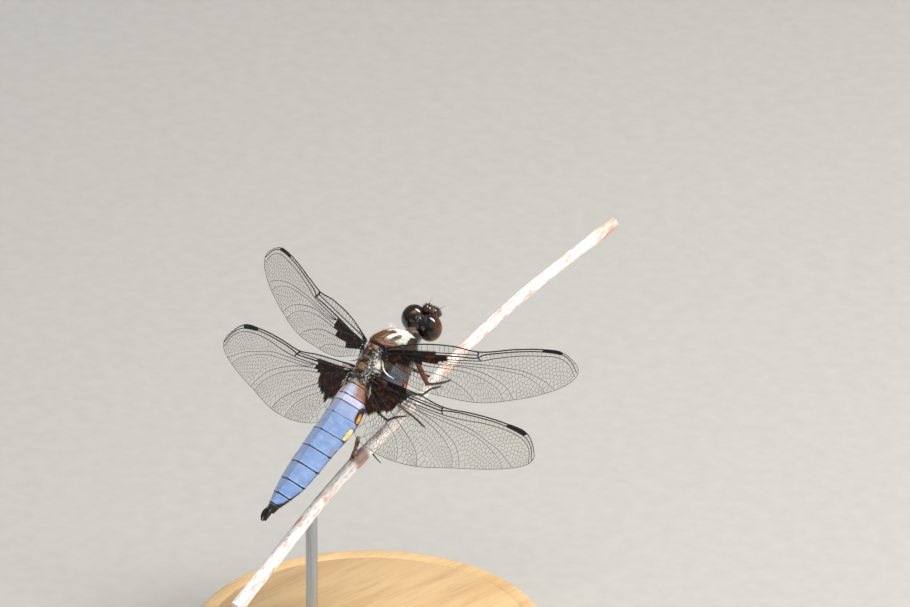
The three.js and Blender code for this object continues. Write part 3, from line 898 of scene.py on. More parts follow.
def on_plate(points, plate):
    """Distance from a plate's middle, 1 at its rim. Plates off the midline have a twin."""
    across, place, half, length, _, _ = plate
    bend = 0.09 * np.sin(5 * points[:, 1]) + 0.07 * np.sin(7 * points[:, 0])
    u = (np.abs(points[:, 0]) - across + bend) / half
    v = (points[:, 1] - place + bend) / length
    return (np.abs(u) ** 2.6 + np.abs(v) ** 2.6) ** (1 / 2.6)


def thorax_relief(points):
    """How far the skin stands out: crest, seams of the side plates, and plates between the wings."""
    turn, _, x = around_thorax(points)
    y, z = points[:, 1], points[:, 2]
    rise = 0.17 * hump(x, 0.12) * blend(y, 2.6, 3.1) * (z > -4)
    for distance, depth in zip(sutures(points), (0.16, 0.14, 0.12)):
        rise -= depth * hump(distance, 0.13) * blend(turn, 8, 22)
        rise += 0.05 * hump(distance, 0.2, 0.3) * blend(turn, 8, 22)
    back = blend(turn, 36, 24)
    rise += 0.16 * hump(y, 0.18, 2.75) * back
    rise -= 0.3 * hump(y, 0.2, 2.25) * back
    for plate in BACK_PLATES:
        away = on_plate(points, plate)
        rise += back * (plate[4] * blend(away, 1.15, 0.2) - 0.04 * hump(away, 0.16, 1.15))
    for hinge in WING_HINGES.values():
        gap = (np.abs(points[:, 0]) - hinge[0] + 0.45) ** 2 / 0.5 + (y - hinge[1] + 0.9) ** 2 / 1.6
        rise -= 0.22 * np.exp(-gap) * (z > hinge[2] - 1.6)
    folds = np.abs(rough(points, 0.55, 17)) * back * blend(y, 2.3, 1.9)
    return rise - 0.1 * folds + 0.035 * rough(points, 0.5, 8) + 0.02 * rough(points, 0.16, 9)


def paint_thorax(points):
    """The markings of skin and hair: brown back, pale shoulder bands, black seams, grey-blue flank, and
    painted light on the top in front.
    """
    turn, _, x = around_thorax(points)
    y, z, off = points[:, 1], points[:, 2], np.abs(x)
    waver = rough(points, 0.6, 11) * 0.16 + rough(points, 0.2, 12) * 0.08
    wavy = turn + 30 * waver
    shoulder, first, second = sutures(points)
    flank = blend(turn, 62, 74) * blend(turn, 134, 118)
    red = flank * blend(y + waver, 0.6, 1.4) * blend(first - waver, 1.0, 0.4)
    blue = flank * blend(y + waver, -2.6, -1.6) * blend(y + waver, 2.2, 1.3)
    front = blend(shoulder + waver, 0.0, 0.3)
    # painted light: lighter brown patches on the upward-facing front of the thorax
    painted_top_light = blend(rough(points, 0.8, 15), 0.0, 0.5) * blend(turn, 60, 40)
    band = blend(wavy, 27, 31) * blend(wavy, 58, 52) * blend(y + waver, 4.35, 4.75) * front
    inner = blend(off, 0.5, 0.6) * blend(off + 0.5 * waver, 1.08, 0.95) * blend(y, 6.8, 6.4) * (z > -4.2)
    inner *= blend(y + waver, np.where(x > 0, 4.1, 5.5), np.where(x > 0, 4.5, 5.9))
    collar = blend(y + waver * 0.5, 6.15, 6.5) * blend(off + waver, 1.45, 1.15) * (z > -4.9)
    notch = hump(off, 0.26, 1.32) * blend(y, 3.9, 4.3) * blend(y + waver, 5.7, 5.3)
    crest = hump(off, 0.15, 0.2) * blend(y, 4.2, 4.7) * blend(y, 6.3, 5.9) * (z > -4)
    low = blend(wavy, 36, 46) * blend(shoulder, -0.2, 0.1) * blend(shoulder + waver, 1.1, 0.7)
    dark = blend(np.abs(shoulder + 0.35) + waver * 0.6, 0.5, 0.25) * blend(turn, 10, 20)
    between = blend(turn, 38, 26) * blend(y, 2.4, 2.1)
    pale = blend(rough(points * (1.6, 1, 1), 0.3, 16), 0.08, 0.2)
    pale *= blend(turn, 9, 20) * blend(turn, 62, 50) * blend(y, 1.9, 1.4)
    gap = hump(np.abs(points[:, 0]), 0.5, 2.3) * hump(y, 0.9, -0.55) * (z > -1.6)
    streaks = 0.5 * rough(points * (1, 2.2, 1), 0.45, 22)
    nape = blend(y, 7.9, 8.3)
    lighter = nape * blend(z + 2 * waver - 0.4 * x, -5.1, -4.5) * blend(y, 9.7, 9.4)
    scuffs = rough(points, 0.3, 19)
    plates = []
    for plate in BACK_PLATES:
        rim = on_plate(points, plate) + 1.8 * waver
        plates.append((plate[5], between * blend(rim, 1.05, 0.6)))
        plates.append(("#d39a4a", 0.35 * between * blend(rim + scuffs, 0.6, 0.1)))
    return layered(plain(points, "#241811"), [
        ("#4a2b1c", 0.7 * blend(rough(points, 1.3, 13), 0.0, 0.5)),
        ("#5b2318", red),
        ("#5f6977", 0.85 * blue),
        ("#7d8894", 0.6 * blue * blend(rough(points, 0.4, 14), 0, 0.4)),
        ("#6d4120", front * blend(wavy, 62, 50)),
        ("#965f34", 0.5 * front * painted_top_light),
        ("#b2bab1", band),
        ("#e2d6cf", inner),
        ("#e0d5ce", collar),
        ("#2e1d12", blend(notch, 0.3, 0.7) * (z > -4)),
        ("#1a100b", blend(crest, 0.3, 0.7)),
        ("#1b120c", 0.9 * low),
        ("#0e0b0a", 0.95 * dark),
        ("#1c1512", 0.85 * between),
        *plates,
        ("#d3cabf", 0.85 * pale),
        ("#e3dbd0", 0.95 * blend(gap + streaks, 0.3, 0.55)),
        ("#70727a", 0.6 * blend(rough(points, 0.45, 21), 0.1, 0.3) * between),
        ("#0d0a09", 0.85 * hump(first, 0.1) * blend(turn, 20, 34)),
        ("#0d0a09", 0.85 * hump(second, 0.1) * blend(turn, 20, 34)),
        ("#3b342e", 0.7 * blend(turn, 128, 150)),
        ("#2b1f19", nape),
        ("#93725f", 0.85 * lighter * blend(rough(points, 0.5, 20), -0.35, 0.1)),
    ])


def make_thorax(cuticle):
    """One skin over the wing-bearing thorax, the collar, the neck and the sockets of the legs."""
    body = loft("thorax_skin", [thorax_ring(p) for p in np.linspace(-4.85, 8.2, 60)])
    tilt = turned(-30, "X")
    parts = [body, ball("collar", (0.05, 8.6, -5.85), (1.6, 1.0, 1.3), tilt)]
    parts.append(ball("collar_lobe", (0.05, 8.6, -4.9), (1.15, 0.4, 0.42), tilt))
    neck = stroke([(0.05, 8.6, -5.6), (0.03, 9.8, -5.6), (0, 10.8, -5.6)], 10)[0]
    parts.append(loft("neck", tube_rings(neck, np.full(10, 0.82), 20)))
    for hip in HIPS.values():
        for side in (1, -1):
            centre = (side * hip[0] * 0.95, hip[1] + 0.15, hip[2] + 0.75)
            parts.append(ball("socket", centre, (0.95, 0.9, 0.85), around=20))
    skin = joined("thorax_skin", parts)
    skin.data.remesh_voxel_size = SKIN_GRAIN
    choose(skin)
    bpy.ops.object.voxel_remesh()
    ease = skin.modifiers.new("ease", "SMOOTH")
    ease.iterations = 5
    bpy.ops.object.modifier_apply(modifier="ease")
    points = vertices_of(skin)
    move_points(skin, points + vertices_of(skin, "normal") * thorax_relief(points)[:, None])
    paint(skin, "markings", paint_thorax(points))
    return settle(skin, INSECT, cuticle, "thorax", "prothorax", "mesothorax", "metathorax")


# ------- hair
def surface_roots(skin, count, seed):
    """Points spread evenly over a skin, their normals, and the random numbers drawn from."""
    draw = np.random.default_rng(seed)
    mesh = skin.data
    mesh.calc_loop_triangles()
    corners = rows_of(mesh.loop_triangles, "vertices", np.int32)
    points, normals = vertices_of(skin), vertices_of(skin, "normal")
    a, b, c = (points[corners[:, i]] for i in range(3))
    area = np.linalg.norm(np.cross(b - a, c - a), axis=1)
    chosen = draw.choice(len(area), count, p=area / area.sum())
    u, v = draw.random(count), draw.random(count)
    flip = u + v > 1
    u[flip], v[flip] = 1 - u[flip], 1 - v[flip]
    spots = a[chosen] + (b - a)[chosen] * u[:, None] + (c - a)[chosen] * v[:, None]
    return spots, normals[corners[chosen, 0]], draw


# A lock of hair: how high, how far bent over and how thick it is at each level, as shares of its size.
LOCK_LEVELS = [(0.0, 0.0, 1.0), (0.36, 0.04, 0.85), (0.72, 0.15, 0.5), (1.0, 0.3, 0.06)]
LOCK_SIDES = 3
LOCK_WIDTH, WIDTH_SPREAD = 0.011, 0.006  # half width of the finest lock, and how much more others have
LOCK_PATCH = 0.003  # how much of the unwrap each lock takes
THORAX_LOCKS = 30000
TUFT_LOCKS = 7  # how many more grow on a root in a tuft


def lock_faces():
    """The faces of one lock, by the order of its points."""
    faces = [tuple(reversed(range(LOCK_SIDES)))]
    for level in range(len(LOCK_LEVELS) - 1):
        for i in range(LOCK_SIDES):
            a, b = level * LOCK_SIDES + i, level * LOCK_SIDES + (i + 1) % LOCK_SIDES
            faces.append((a, b, b + LOCK_SIDES, a + LOCK_SIDES))
    last = (len(LOCK_LEVELS) - 1) * LOCK_SIDES
    faces.append(tuple(last + i for i in range(LOCK_SIDES)))
    return faces


def grow_hair(name, roots, leans, lengths, widths, colours, wraps, home, hair, slot):
    """Locks of hair as one mesh. wraps are the roots' places on an unwrap of the skin."""
    up = unit(leans)
    side = unit(np.cross(up, (0.31, 0.92, 0.22)))
    across = np.cross(up, side)
    points, painted_root_shade_tip_light, patch = [], [], []
    for height, bend, girth in LOCK_LEVELS:
        centre = roots + (up * height + side * bend) * lengths[:, None]
        for i in range(LOCK_SIDES):
            turn = 2 * math.pi * i / LOCK_SIDES
            spoke = side * math.cos(turn) + across * math.sin(turn)
            points.append(centre + spoke * (widths * girth)[:, None])
            # painted shade: each lock darker at the root inside the coat, and lighter at the tip by painted
            # light
            painted_root_shade_tip_light.append(0.65 + 0.5 * height)
            patch.append((i / LOCK_SIDES * LOCK_PATCH, height * LOCK_PATCH))
    size = len(points)
    spread = np.stack(points, axis=1).reshape(-1, 3)
    piece = mesh_piece(name, spread.tolist(), repeated(lock_faces(), size, len(roots)))
    painted_shading_colours = colours[:, None] * np.array(painted_root_shade_tip_light)[None, :, None]
    paint(piece, "markings", np.clip(painted_shading_colours, 0, 1).reshape(-1, 3))
    layer = piece.data.uv_layers.new(name="OFBake")
    corner = np.zeros(len(piece.data.loops), np.int32)
    piece.data.loops.foreach_get("vertex_index", corner)
    lain = np.asarray(wraps)[corner // size] + np.array(patch)[corner % size]
    fill(layer.data, "uv", np.clip(lain, 0, 1))
    return settle(piece, home, hair, slot)


def front_tufts(points):
    """The pair of whitish tufts on the front of the thorax, the left one fuller."""
    near = hump(np.abs(points[:, 0]), 0.36, 0.9) * hump(points[:, 1], 0.45, 6.8)
    return near * (points[:, 2] > -3.4) * (0.4 + 0.6 * (points[:, 0] < 0))


def coat_the_thorax(skin, hair):
    """Fine fuzz: brown over the back, whitish tufts in front of the crest, grey on flanks and belly."""
    bare_skin = skin.copy()
    bare_skin.data = skin.data.copy()
    bare_skin.data.transform(INSECT.inverted())
    roots, normals, draw = surface_roots(bare_skin, THORAX_LOCKS, seed=7)
    bpy.data.meshes.remove(bare_skin.data)
    tufted = np.repeat(np.flatnonzero(front_tufts(roots) > 0.35), TUFT_LOCKS)
    roots = np.vstack([roots, roots[tufted] + draw.normal(0, 0.06, (len(tufted), 3))])
    normals = np.vstack([normals, normals[tufted]])
    turn = around_thorax(roots)[0]
    y, z = roots[:, 1], roots[:, 2]
    front = blend(y, 2.4, 3.4)
    flank = blend(turn, 45, 70)
    bare = (1 - front) * blend(turn, 34, 20)
    near_hinges = sum(
        hump(np.abs(roots[:, 0]), 0.9, h[0]) * hump(y, 0.9, h[1]) * (z > h[2] - 1.3)
        for h in WING_HINGES.values()
    )
    shown = blend(y, 4.2, 4.6) * (turn < 60)
    keep = draw.random(len(roots)) > np.clip(0.8 * bare + near_hinges + 0.72 * shown, 0, 0.97)
    keep &= (y < 9.4) & (y > -4.7) & ((turn < 112) | (draw.random(len(roots)) < 0.8))
    lengths = 0.3 + 0.22 * front * (1 - flank) + 0.3 * blend(turn, 95, 120) + 0.04 * flank
    tuft = front_tufts(roots)
    lengths = (lengths + 0.85 * tuft) * (0.6 + 0.6 * draw.random(len(roots)))
    lie = np.column_stack([np.zeros(len(roots)), -np.ones(len(roots)), -0.5 * flank])
    stray = draw.normal(0, 0.26, roots.shape)
    leans = normals * (0.34 + 0.2 * tuft)[:, None] + lie * (0.62 - 0.3 * tuft)[:, None] + stray
    leans += np.outer(1.1 * tuft, (0, 0.1, 1))
    colour = layered(paint_thorax(roots), [
        ("#7a4f2c", 0.5 * front * (1 - flank) * (1 - shown)),
        ("#f4f1ec", 1.4 * tuft + 0.3 * blend(turn, 95, 125)),
        ("#7b7c80", 0.3 * flank),
    ])
    wraps = np.column_stack([
        np.degrees(np.arctan2(roots[:, 0], z + 4.3)) / 360 + 0.5,
        (y + 5.5) / 16,
    ])
    widths = LOCK_WIDTH + WIDTH_SPREAD * draw.random(len(roots))
    regions = {
        "thorax_hair_back": keep & (turn < 58),
        "thorax_hair_sides": keep & (turn >= 58) & (turn < 112),
        "thorax_hair_breast": keep & (turn >= 112),
    }
    for name, part in regions.items():
        grow_hair(name, (roots - normals * 0.03)[part], leans[part], lengths[part], widths[part],
                  colour[part], wraps[part], INSECT, hair, "thorax")


# ------- head
EYE_CENTRE = (1.7, 0.0, -0.4)
EYE_RADII = (2.2, 2.04, 2.46)
EYE_LEAN = 12  # the tops of the eyes lean together by these degrees
EYE_GAP = 0.03  # how far each eye is cut off from the midline
PAINTED_SHEEN_CENTRE, PAINTED_SHEEN_LINE = (1.27, -1.09, 1.6), (-0.59, 0.71, 0.38)
PAINTED_SHEEN_COLOURS = {"right": "#3f454b", "left": "#a87f49"}  # painted sheen: a long patch on top of each eye, a tan band with painted highlight on the left and a grey-blue painted glint on the right


def make_eyes(lens):
    """Two big eyes that meet along a line over the head."""
    for hand, side in SIDES.items():
        centre = (side * EYE_CENTRE[0], *EYE_CENTRE[1:])
        lean = turned(-side * EYE_LEAN, "Y")
        piece = ball(f"eye_{hand}_lens", centre, EYE_RADII, lean, around=96)
        with editing(piece):
            cut = {"plane_co": (side * EYE_GAP, 0, 0), "plane_no": (side, 0, 0)}
            bpy.ops.mesh.bisect(**cut, use_fill=True, clear_inner=True)
        points = vertices_of(piece)
        rear = blend(-points[:, 1], 1.2, 1.85) * blend(-points[:, 2], -0.6, 0.8)
        move_points(piece, points + np.outer(0.12 * rear, (0, 1, 0)))
        waver = rough(points, 0.8, 31) * 0.25
        outward = np.abs(points[:, 0]) - EYE_CENTRE[0]
        # A long patch of painted sheen on top of the eye: a tan band with painted highlight on the left, a
        # grey-blue painted glint on the right.
        away = points * (side, 1, 1) - PAINTED_SHEEN_CENTRE
        along_it = away @ PAINTED_SHEEN_LINE
        across_it = np.linalg.norm(away - np.outer(along_it, PAINTED_SHEEN_LINE), axis=1)
        patch = hump(along_it, 0.55) * hump(across_it + 0.3 * waver, 0.24)
        paint(piece, "markings", layered(plain(points, "#170e0a"), [
            ("#4d2a10", blend(0.7 * points[:, 1] + 0.6 * outward + waver, 0.0, 0.95)),
            ("#6e4019", 0.6 * blend(-points[:, 2] + waver, 1.5, 2.4)),
            (PAINTED_SHEEN_COLOURS[hand], 0.8 * patch),
        ]))
        settle(piece, HEAD, lens, "eye", f"eye_{hand}", angle=40)


# Parts of the face as eggs: middle and radii.
FACE = {
    "crown": ((-0.05, 1.2, 1.8), (1.08, 0.95, 0.86)),
    "forehead": ((0.08, 2.8, 0.45), (1.36, 1.15, 0.98)),
    "shield": ((0, 2.5, -0.72), (1.5, 1.02, 0.88)),
    "upper_lip": ((0, 2.2, -1.68), (1.34, 0.82, 0.56)),
    "lower_lip": ((0, 1.05, -2.05), (1.66, 1.5, 0.72)),
    "capsule": ((0, -0.3, -0.7), (2.4, 1.55, 1.72)),
    "nape": ((0, -0.95, 0.72), (0.62, 0.5, 0.55)),
}
OCELLI = ((-0.05, 2.08, 2.0), (0.78, 1.45, 2.24), (-0.88, 1.45, 2.24))


def crown_cleft(p):
    """The groove along the top of the crown."""
    return np.outer(-0.12 * hump(p[:, 0], 0.16) * blend(p[:, 2], 2.0, 2.4), (0, 0, 1))


def forehead_lobes(p):
    """The cleft of the forehead, and a lobe on each side of it."""
    cleft = hump(p[:, 0], 0.2) * blend(p[:, 2], 0.5, 1.2) * blend(p[:, 1], 2.4, 3.2)
    lobes = hump(np.abs(p[:, 0]), 0.4, 0.6) * blend(p[:, 2], 0.5, 1.3)
    return np.outer(-0.26 * cleft, (0, 1, 0.5)) + np.outer(0.08 * lobes, (0, 0.6, 1))


def shield_crease(p):
    """The fold across the middle of the shield."""
    return np.outer(-0.14 * hump(p[:, 2], 0.1, -0.72) * blend(p[:, 1], 2.4, 3.0), (0, 1, 0))


def upper_lip_notch(p):
    """The notch in the middle of the upper lip."""
    return np.outer(-0.14 * hump(p[:, 0], 0.15) * blend(-p[:, 2], 1.7, 2.1), (0, 1, -0.6))


def lower_lip_lobes(p):
    """The slit between the lobes of the lower lip, and the lines at their sides."""
    slit = hump(p[:, 0], 0.09) * blend(-p[:, 2], 1.9, 2.4)
    side = hump(np.abs(p[:, 0]), 0.1, 0.82) * blend(-p[:, 1], -1.6, -0.4)
    return np.outer(0.13 * slit + 0.08 * side, (0, 0, 1))


def make_face(cuticle):
    """Crown with its three small eyes, two-lobed forehead, shield, upper and lower lips."""
    shaping = {
        "crown": (48, crown_cleft), "forehead": (64, forehead_lobes), "shield": (56, shield_crease),
        "upper_lip": (48, upper_lip_notch), "lower_lip": (48, lower_lip_lobes),
        "capsule": (56, None), "nape": (32, None),
    }
    made = {}
    for name, (around, how) in shaping.items():
        made[name] = ball(name, *FACE[name], around=around)
        if how:
            push(made[name], how)
    beads = [ball("ocellus", place, (0.2, 0.2, 0.2), around=20) for place in OCELLI]
    jaws = [ball("jaw", (side * 1.28, 1.75, -1.25), (0.42, 0.75, 0.62), around=28) for side in (1, -1)]
    pieces = [
        (joined("crown_and_ocelli", [made["crown"], *beads]), "vertex", "#2c120c", "#4e2014"),
        (made["forehead"], "frons", "#35170e", "#5a2c18"),
        (made["shield"], "clypeus", "#4a2813", "#6d4322"),
        (joined("upper_lip_and_jaws", [made["upper_lip"], *jaws]), "labrum", "#2f170d", "#5c3319"),
        (made["lower_lip"], "labium", "#4f2f18", "#7a5428"),
        (joined("capsule_and_nape", [made["capsule"], made["nape"]]), "head_capsule", "#1a110d", "#4a382d"),
    ]
    for piece, node, dark, light in pieces:
        points = vertices_of(piece)
        colour = over(plain(points, dark), light, blend(rough(points, 0.7, 41), -0.3, 0.5))
        if piece.name == "crown_and_ocelli":
            for place in OCELLI:
                near = np.linalg.norm(points - np.array(place), axis=1) < 0.215
                colour[near] = linear("#8a6038")[:3]
        paint(piece, "markings", colour)
        settle(piece, HEAD, cuticle, "face", node, angle=60)


def make_feelers(black):
    """Short feelers: two stout joints, then a bristle that thins in four steps."""
    for hand, side in SIDES.items():
        points = [(side * 0.85, 2.05, 1.35), (side * 1.2, 3.05, 1.95), (side * 1.45, 3.9, 2.3)]
        line, share = stroke(points, 40)
        girth = np.where(share < 0.2, 0.14, np.where(share < 0.34, 0.11, 0.055 - 0.035 * share))
        for joint in (0.2, 0.34, 0.52, 0.7, 0.85):
            girth = girth + 0.014 * hump(share, 0.012, joint)
        piece = loft(f"antenna_{hand}_bristle", tube_rings(line, girth, 10))
        settle(piece, HEAD, black, "black_cuticle", f"antenna_{hand}")


def coat_the_head(hair):
    """Grey hair behind the eyes and short dark hair on crown, forehead and lips."""
    draw = np.random.default_rng(52)
    # Part, count, where it faces, how far it is combed that way, colour, lengths, and the least facing.
    batches = [
        ("capsule", 1300, (0, -1, 0.1), 0.75, "#50473f", (0.25, 0.5), 0.1),
        ("nape", 90, (0, -0.5, 1), 0.6, "#b5aca0", (0.3, 0.5), -0.2),
        ("crown", 200, (0, 0.3, 1), 0.3, "#1d1310", (0.25, 0.5), 0.2),
        ("forehead", 420, (0, 0.9, 0.5), 0.2, "#1d1310", (0.16, 0.38), 0.2),
        ("shield", 160, (0, 1, -0.3), 0.1, "#3a261a", (0.2, 0.4), 0.3),
        ("upper_lip", 160, (0, 1, -0.6), 0.2, "#3a261a", (0.25, 0.45), 0.3),
        ("lower_lip", 160, (0, 0.2, -1), 0.2, "#5a4433", (0.25, 0.45), 0.2),
    ]
    roots, leans, lengths, colours = [], [], [], []
    for part, count, toward, comb, colour, (short, long), floor in batches:
        centre, radii = FACE[part]
        toward = np.array(toward, float) / np.linalg.norm(toward)
        facing = unit(draw.normal(0, 1, (count * 8, 3)))
        facing = facing[facing @ toward > floor][:count]
        roots.append(np.array(centre) + facing * np.array(radii) * 0.97)
        leans.append(facing + toward * comb + draw.normal(0, 0.2, facing.shape))
        lengths.append(short + (long - short) * draw.random(len(facing)))
        colours.append(plain(facing, colour))
    roots, leans, lengths, colours = (np.concatenate(rows) for rows in (roots, leans, lengths, colours))
    wraps = np.column_stack([
        np.arctan2(roots[:, 0], roots[:, 2]) / (2 * np.pi) + 0.5,
        (roots[:, 1] + 2.2) / 6.5,
    ])
    widths = LOCK_WIDTH + WIDTH_SPREAD * draw.random(len(roots))
    grow_hair("head_hair", roots, leans, lengths, widths, colours, wraps, HEAD, hair, "face")


# ------- wings
# In a wing's own frame x runs out along the span, y forward and z up, from the hinge of its front edge.
# Each vein, front to rear: its thickness at the root and at the tip, and its height over the wing's plane.
VEINS = {
    "subcosta": (0.22, 0.16, -0.34),
    "radius": (0.34, 0.14, 0.14),
    "radial_branch": (0.2, 0.1, -0.14),
    "second_branch": (0.13, 0.07, 0.1),
    "between_branches": (0.11, 0.06, -0.03),
    "middle": (0.17, 0.07, 0.1),
    "rear_middle": (0.16, 0.06, -0.06),
    "elbow": (0.18, 0.07, 0.05),
    "anal": (0.14, 0.06, -0.02),
}
# A wing's plan. Its dark patch is given for the right wing, 1, and for the left one, -1. The painted glow is
# how far out the red-brown cells in the patch lie, a painted glow of light through the right forewing's
# patch, and the cord is the pale rear edge of the root.
FOREWING = {
    "outline": [
        [-0.3, 0.2], [5.9, 1.1], [12.2, 1.0], [17.6, 0.2], [24, 0.8], [28.8, 1.0], [32.8, 0.6],
        [35.4, -1.2], [35.9, -2.8], [34.1, -4.6], [29.8, -6.3], [23.8, -7.6], [18, -8.2], [11.8, -7.5],
        [5.8, -6.2], [1.6, -4.0], [-0.3, -3.0],
    ],
    "nodus": 17.5,
    "stigma": (29.2, 32.9),
    "veins": {
        "subcosta": [[-0.3, -0.1], [3, -0.05], [8, -0.15], [13, -0.25], [17.4, -0.35]],
        "radius": [[-0.3, -0.55], [3, -0.6], [9, -0.6], [14, -0.72], [17.2, -0.85], [18.2, -0.35],
                [20, -0.05], [25, 0.48], [29, 0.6], [32.9, 0.2], [34.6, -0.9], [35.75, -2.7]],
        "radial_branch": [[3.2, -0.62], [4.6, -1.15], [10, -1.25], [17.8, -1.28], [20, -0.88],
                [22.5, -0.5], [25, -0.22], [29, -0.1], [32.2, -0.3], [34.2, -1.4], [35.3, -3.3]],
        "second_branch": [[9.5, -1.27], [12, -1.6], [15, -1.75], [20, -2.0], [23, -2.3], [25.5, -2.65],
                [27.5, -3.2], [30, -4.3], [31.9, -5.6]],
        "between_branches": [[9.8, -1.4], [12, -2.0], [15, -2.2], [20, -2.5], [23, -2.85], [25.5, -3.3],
                [27.5, -4.1], [29.2, -5.2], [30.1, -6.3]],
        "middle": [[3.2, -0.8], [7, -1.75], [12, -2.25], [15, -2.45], [17.5, -2.95], [20, -3.85],
                [21.5, -4.6], [23, -5.6], [24.4, -7.5]],
        "rear_middle": [[3.2, -1.1], [7, -2.3], [12, -2.8], [15, -3.2], [17.5, -3.9], [20, -5.0],
                [21.5, -6.1], [22.6, -7.8]],
        "elbow": [[0.3, -1.3], [3, -2.4], [6, -3.1], [9, -3.6], [12, -4.4], [14.5, -5.7], [16.2, -7.0],
                [17.2, -8.2]],
        "anal": [[0.3, -1.9], [3, -3.2], [5.5, -4.2], [7.5, -4.9], [9.3, -5.9], [10.4, -7.2]],
    },
    "dark": {
        1: [[0.2, -0.1], [7.2, -0.1], [11.4, -0.6], [11.4, -1.6], [7.3, -1.9], [3.6, -2.3], [0.2, -2.3]],
        -1: [[0.2, -0.6], [4.2, -0.6], [8.8, -0.5], [9.4, -2.4], [8, -2.9], [5.8, -3.3], [4, -3.2],
             [1.8, -3.4], [0.4, -2.5]],
    },
    "ember": 8.7,
    "cord": [(-0.7, -1.8, -0.1), (-0.35, -3.4, -0.15), (0.6, -4.3, -0.12), (1.6, -4.75, -0.06)],
    "cord_colour": "#f0ece3",
}
HINDWING = {
    "outline": [
        [-0.3, 0.1], [5, -0.2], [9.9, -0.5], [14.6, -1.0], [20.8, -0.3], [26.6, 0.0], [31.5, -0.4],
        [34.3, -3.2], [34.2, -4.7], [32.4, -6.1], [27.8, -8.0], [21, -10.0], [14.6, -11.8], [9.3, -12.3],
        [4.8, -11.9], [1.8, -11.0], [0.6, -9.7], [0.9, -7.4], [0.5, -5.0], [-0.3, -3.2],
    ],
    "nodus": 14.8,
    "stigma": (27.3, 31.3),
    "veins": {
        "subcosta": [[-0.3, -0.45], [3, -0.9], [8, -1.08], [14.6, -1.25]],
        "radius": [[-0.3, -0.95], [3, -1.38], [8, -1.5], [14.4, -1.72], [15.2, -1.5], [17, -1.15],
                [20, -0.78], [25, -0.42], [28, -0.5], [31.3, -1.0], [33.2, -2.3], [34.25, -4.3]],
        "radial_branch": [[3.4, -1.4], [5, -1.95], [10, -2.15], [15.2, -2.2], [20, -1.75],
                [22.5, -1.32], [25, -1.1], [28, -1.05], [31, -1.5], [33, -2.8], [33.9, -4.9]],
        "second_branch": [[9, -2.12], [10.5, -2.5], [13, -2.62], [17, -2.7], [20.5, -2.82], [23, -3.25],
                [25, -3.85], [27.5, -4.5], [30.2, -5.8], [31.6, -6.6]],
        "between_branches": [[9.2, -2.3], [11, -2.95], [14, -3.15], [20, -3.45], [23, -3.85],
                [26, -4.8], [28.5, -6.0], [29.8, -7.2]],
        "middle": [[3.4, -1.5], [7, -2.6], [10.2, -3.0], [13, -3.5], [15, -4.05], [17.5, -5.05],
                [19.8, -6.3], [21.4, -8.2], [22.2, -9.7]],
        "rear_middle": [[3.4, -1.75], [7, -3.1], [10.5, -3.65], [13, -4.25], [16, -5.4], [18, -6.5],
                [19.8, -8.0], [20.9, -10.0]],
        "elbow": [[0.3, -1.8], [3, -3.3], [6.2, -5.0], [8, -6.0], [10, -7.2], [12, -8.5], [13.5, -9.9],
                [14.5, -11.8]],
        "anal": [[0.3, -2.5], [3, -4.6], [5, -6.3], [7.2, -7.6], [8.7, -8.8], [9.8, -10.3],
                [10.4, -12.2]],
    },
    "dark": {
        1: [[0.3, -0.3], [3.5, -0.3], [6, -0.5], [8.3, -0.9], [7.6, -2.2], [6.5, -3.3], [6, -4.1],
            [4.6, -5.3], [2.8, -6.1], [1.4, -6.4], [0.3, -5.2]],
        -1: [[0.3, -1.0], [9, -1.1], [8.8, -2.4], [7.8, -3.1], [6.4, -4.0], [6.1, -5.1], [4.2, -6.2],
             [2.3, -7.1], [1.2, -6.4], [0.3, -4.6]],
    },
    "ember": None,
    "cord": [(-0.15, -1.7, -0.1), (0.4, -3.1, -0.12), (0.55, -4.2, -0.08)],
    "cord_colour": "#a1978a",
}
# How a field between two veins is divided, from front to rear: cell length, cell height, lean of its
# rows, and how much taller than long its cells settle.
FIELDS = [
    (1.0, 9.0, 0.0, 1.0), (0.98, 9.0, 0.0, 1.0), (0.85, 9.0, 0.0, 1.0), (0.74, 0.7, 0.15, 1.05),
    (0.74, 9.0, 0.1, 1.0), (0.68, 0.8, 0.3, 1.2), (0.74, 9.0, 0.2, 1.0), (0.58, 0.9, 0.4, 1.5),
    (0.6, 0.92, 0.4, 1.5), (0.6, 0.95, 0.3, 1.5),
]
# Side and hinge, and in degrees how far it sweeps forward, droops, and lifts its front edge.
WINGS = {
    "forewing_right": (1, "fore", 22.3, 3.1, 30),
    "forewing_left": (-1, "fore", 15.8, 5.9, 30),
    "hindwing_right": (1, "hind", 7.1, 6.9, 15),
    "hindwing_left": (-1, "hind", 0.8, 10, 15),
}
NET_THICKNESS, EDGE_THICKNESS, FILM_THICKNESS = 0.052, 0.22, 0.05


def wing_home(side, hinge, sweep, droop, pitch):
    """The wing's frame in the room: swept forward, drooping outward, with its front edge up."""
    a, b, c = (math.radians(angle) for angle in (sweep, droop, pitch))
    out = Vector((math.cos(b) * math.cos(a), math.cos(b) * math.sin(a), -math.sin(b)))
    level = Vector((-math.sin(a), math.cos(a), 0))
    lift = out.cross(level)
    chord = level * math.cos(c) + lift * math.sin(c)
    up = out.cross(chord)
    mirror = Matrix.Diagonal((side, 1, 1, 1))
    return INSECT @ mirror @ Matrix.Translation(WING_HINGES[hinge]) @ turned_to(out, chord, up)


